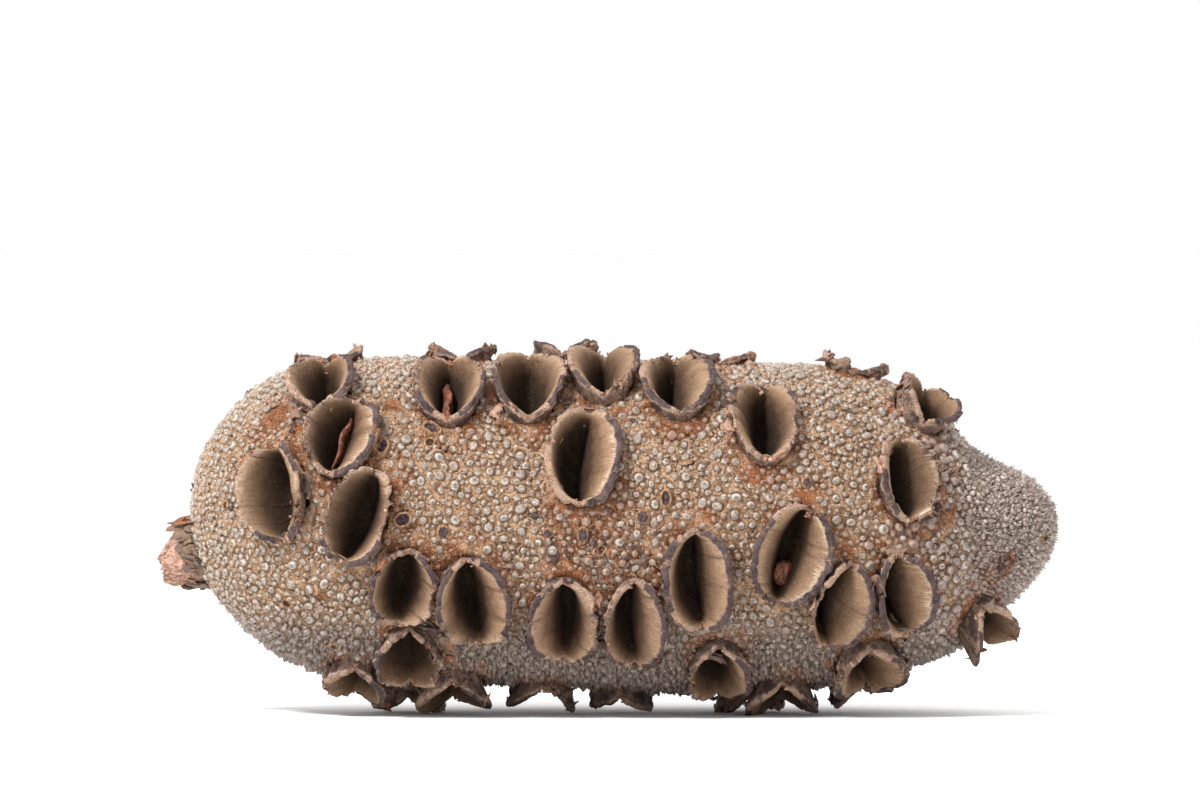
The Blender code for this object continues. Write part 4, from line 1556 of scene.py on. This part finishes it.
start_fresh()
bpy.ops.mesh.primitive_cone_add(vertices=3, radius1=1.0, radius2=0.0, depth=1.0, end_fill_type="NOTHING")
hair = bpy.context.object
spots = fibre_spots(FIBRES, 51)
draw = np.random.default_rng(52)
places, turns = standing_frames(spots, 1.15, 53)
_, outwards = on_spike(spots[:, 0], spots[:, 1])
downward = np.sum(turns[:, 2] * outwards, axis=1) < 0.0
turns[downward, 1:] *= -1.0
rust = stains_and_shade(places, STAIN_SEED)[0]
tall = draw.uniform(0.6, 1.5, FIBRES) * (1.0 + 0.5 * rust)
thick = draw.uniform(0.035, 0.075, FIBRES) * (1.0 + 0.3 * rust)
raised = draw.uniform(-0.05, 0.26, FIBRES)
places = places + turns[:, 2] * (tall * 0.4)[:, None] + outwards * raised[:, None]
fibres = copied_over("felt_fibres", hair, places, turns, np.stack((thick, thick, tall), axis=1))
keep_stains_and_shade(fibres, np.repeat(places, len(hair.data.vertices), axis=0))
bpy.data.objects.remove(hair)

fibre_finish, fibre_shader, start = new_material("fibres", 0.85, 0.25)
mottle = speckle(start, 0.5, 2.0)
fibre_colour = mixed(mottle.between(0.40, 0.55), (0.20, 0.095, 0.044), (0.86, 0.65, 0.47))
fibre_colour = coated(
    fibre_colour,
    (numbers(start, "pale") * 0.5, (0.58, 0.42, 0.27)),
    (numbers(start, "grey") * 0.85, (0.46, 0.39, 0.345)),
    (numbers(start, "under") * 0.80, (0.28, 0.235, 0.20)),
# Painted shade: the underside darkened
)
rusty_hair = mixed(mottle.between(0.35, 0.65), (0.14, 0.036, 0.011), (0.42, 0.14, 0.042))
fibre_colour = mixed(numbers(start, "rust") * 0.92, fibre_colour, rusty_hair)
plug(fibre_shader, "Base Color", fibre_colour)
finished(fibres, "felt_fibres", fibre_finish)
print("fibres:", len(fibres.data.polygons), "faces")

# %% [markdown]
# ## Spines
# On the nose and underneath, the bract tips were never worn down, and each still ends in a sharp point.

# %% Spines on the nose and underneath
SPINES = 6400
start_fresh()
bpy.ops.mesh.primitive_cone_add(vertices=4, radius1=1.0, radius2=0.0, depth=1.0, end_fill_type="NOTHING")
spine = bpy.context.object
spots = fibre_spots(SPINES * 5, 61)
places, turns = standing_frames(spots, 0.30, 62)
grey = stains_and_shade(places, STAIN_SEED)[2]
draw = np.random.default_rng(63)
chosen = draw.uniform(0.0, 1.0, len(spots)) < grey * 0.9
places, turns, spots = places[chosen], turns[chosen], spots[chosen]
ahead = smooth_step(places[:, 0], 60.0, 84.0)
turns[:, 2] = unit(turns[:, 2] + np.array((0.5, 0.0, 0.0)) * ahead[:, None])
tall = draw.uniform(0.7, 2.1, len(spots))
thick = draw.uniform(0.14, 0.36, len(spots))
places = places + turns[:, 2] * (tall * 0.42)[:, None]
made = copied_over("spines", spine, places, turns, np.stack((thick, thick, tall), axis=1))
count = len(spine.data.vertices)
store(made, "ring", np.full(count * len(spots), 0.7))
store(made, "tint", np.repeat(draw.uniform(0.0, 1.0, len(spots)), count))
keep_stains_and_shade(made, np.repeat(places, count, axis=0))
bpy.data.objects.remove(spine)
finished(made, "spines", bract_finish)
print("spines:", len(made.data.polygons), "faces")

# %% [markdown]
# ## The broken stalk
# The cone was torn off its branch. The stub shows salmon-pink wood in long fibres, so it is a cylinder
# whose rows follow the sections of the solid stalk, grooved lengthwise and ending in splinters of unequal
# length.

# %% Stalk
STALK_START = (-73.5, -3.9)
STALK_SLOPE = 14.0
STALK_SECTIONS = ((0.0, 6.6), (10.0, 6.6), (12.4, 5.9), (14.6, 5.2), (16.4, 3.6))
STALK_SIDES = 56
STALK_ROWS = 26

slope = math.radians(STALK_SLOPE)
stalk_frame = Matrix.Rotation(-math.pi / 2 - slope, 4, "Y")
stalk_frame.translation = (STALK_START[0], 0.0, AXIS_HEIGHT + STALK_START[1])
stalk_frame = np.array(stalk_frame)

start_fresh()
bpy.ops.mesh.primitive_uv_sphere_add(segments=STALK_SIDES, ring_count=STALK_ROWS, radius=1.0)
stalk = bpy.context.object
ball = corners_of(stalk)
turn = np.arctan2(ball[:, 1], ball[:, 0])
row = ball_rows(ball, STALK_ROWS)
share = 1.0 - row / STALK_ROWS
away = np.interp(share, (0.0, 0.08, 0.30, 0.80, 1.0), (4.0, 4.0, 10.0, 16.4, 16.0))
girth = np.interp(away, *np.array(STALK_SECTIONS).T)
girth *= np.interp(share, (0.0, 0.04, 0.80, 0.9, 1.0), (0.0, 0.9, 1.0, 0.6, 0.0))
girth *= 1.0 - 0.26 * smooth_step(away, 10.5, 16.4)
groove = sum(np.sin(turn * n + n * n) / n**0.5 for n in (5, 9, 14, 23)) * 0.09
outer = smooth_step(away, 9.0, 12.0)
girth = girth * (1.0 + groove * outer)
splinters = sum(np.sin(turn * n + 1.7 * n) for n in (7, 12, 19)) * 0.35
away = away + splinters * smooth_step(share, 0.55, 0.8) * (girth / 4.0)
droop = 1.5 * smooth_step(away, 10.5, 16.4)
points = np.stack((girth * np.cos(turn) - droop, girth * np.sin(turn), away), axis=1)
points = np.column_stack((points, np.ones(len(turn)))) @ stalk_frame.T
move_corners(stalk, points[:, :3] + 0.12 * ripple(points[:, :3], 1.2, 71)[:, None])
store(stalk, "turn", turn)

stalk_finish, stalk_shader, start = new_material("broken_wood", 0.75, 0.25)
grain = speckle(start, 0.8, 5.0, (0.16, 1.0, 1.0), 0.7)
pits = speckle(start, 0.5, 3.0)
pink = mixed(grain.between(0.38, 0.60), (0.20, 0.095, 0.062), (0.56, 0.345, 0.255))
pink = coated(
    pink,
    (grain.between(0.60, 0.74) * 0.7, (0.66, 0.47, 0.38)),
    (pits.between(0.56, 0.66) * 0.8, (0.055, 0.026, 0.016)),
)
plug(stalk_shader, "Base Color", pink)
bumped(stalk_shader, grain + pits * 0.4, 0.9, 1.0)
finished(stalk, "broken_stalk", stalk_finish)
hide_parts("stalk")
print("stalk:", len(stalk.data.polygons), "faces")

# %% Bark round the stalk's foot
STALK_SCALES = 90
draw = np.random.default_rng(75)
turn = draw.uniform(0, 2 * math.pi, STALK_SCALES)
away = draw.uniform(7.8, 11.6, STALK_SCALES)
girth = np.interp(away, *np.array(STALK_SECTIONS).T) + 0.15
size = draw.uniform(0.5, 1.4, STALK_SCALES)
tints = draw.uniform(0.26, 0.42, STALK_SCALES)

# The first two are thick pieces of orange bark on top
turn[0], away[0], girth[0], size[0], tints[0] = 0.1, 9.6, 6.9, 1.9, 0.52
turn[1], away[1], girth[1], size[1], tints[1] = -0.5, 8.9, 7.0, 1.8, 0.56
out = np.stack((np.cos(turn), np.sin(turn), np.zeros(STALK_SCALES)), axis=1)
out = unit(out + draw.normal(0, 0.3, (STALK_SCALES, 3)))
sideways = unit(np.cross((0.0, 0.0, 1.0), out))
turns = np.stack((sideways, np.cross(out, sideways), out), axis=1) @ stalk_frame[:3, :3].T
places = np.stack((girth * np.cos(turn), girth * np.sin(turn), away), axis=1) @ stalk_frame[:3, :3].T
sizes = np.stack((size * 0.8, size * draw.uniform(0.9, 1.5, STALK_SCALES), size), axis=1)
scatter("stalk_bark", make_flake(), places + stalk_frame[:3, 3], turns, sizes, tints, crumb_finish)

# %% [markdown]
# ## Seed separators
# Each follicle once held two seeds with a thin woody separator between them. Three separators are still
# wedged in their slots: slim, wrinkled, dark boards. A sphere is flattened into a blade and crumpled.

# %% Three separators
SEPARATORS = (
    ("seed_separator_1", 18, 0.25, 0.21, -6.0, -1.3, -4.6),
    ("seed_separator_2", 1, 0.74, 0.07, -6.4, 0.2, 0.0),
    ("seed_separator_3", 4, 0.70, 0.11, -6.4, -0.9, 0.0),
)
separator_finish, separator_shader, start = new_material("separator_wood", 0.55, 0.3)
grain = speckle(start, 0.9, 4.0, (1.0, 1.0, 0.5))
pits = speckle(start, 0.4, 3.0)
brown = mixed(grain.between(0.38, 0.62), (0.045, 0.015, 0.009), (0.25, 0.084, 0.043))
brown = mixed(pits.between(0.60, 0.70) * 0.6, brown, (0.45, 0.27, 0.19))
plug(separator_shader, "Base Color", brown)
bumped(separator_shader, grain, 0.6, 0.9)
for name, host, long, wide, low, high, shift in SEPARATORS:
    _, _, length, width, _, _, _ = FOLLICLES[host]
    place, axes = SEATS[host]
    start_fresh()
    bpy.ops.mesh.primitive_uv_sphere_add(segments=28, ring_count=16, radius=1.0)
    blade = bpy.context.object
    ball = corners_of(blade)
    ball = np.sign(ball) * np.abs(ball) ** 0.75
    points = ball * np.array((long * length / 2, wide * width / 2, (high - low) / 2))
    points += np.array((shift, 0.0, (high + low) / 2))
    points[:, 1] += 0.30 * np.sin(points[:, 0] * 0.9 + host) + 0.12 * np.sin(points[:, 2] * 2.1)
    points += 0.16 * ripple(points, 1.3, 80 + host)[:, None]
    points[:, 2] -= points[:, 0] ** 2 / 64.0
    move_corners(blade, place + points @ axes)
    finished(blade, name + "_board", separator_finish)
    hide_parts(name)
print("separators in place")
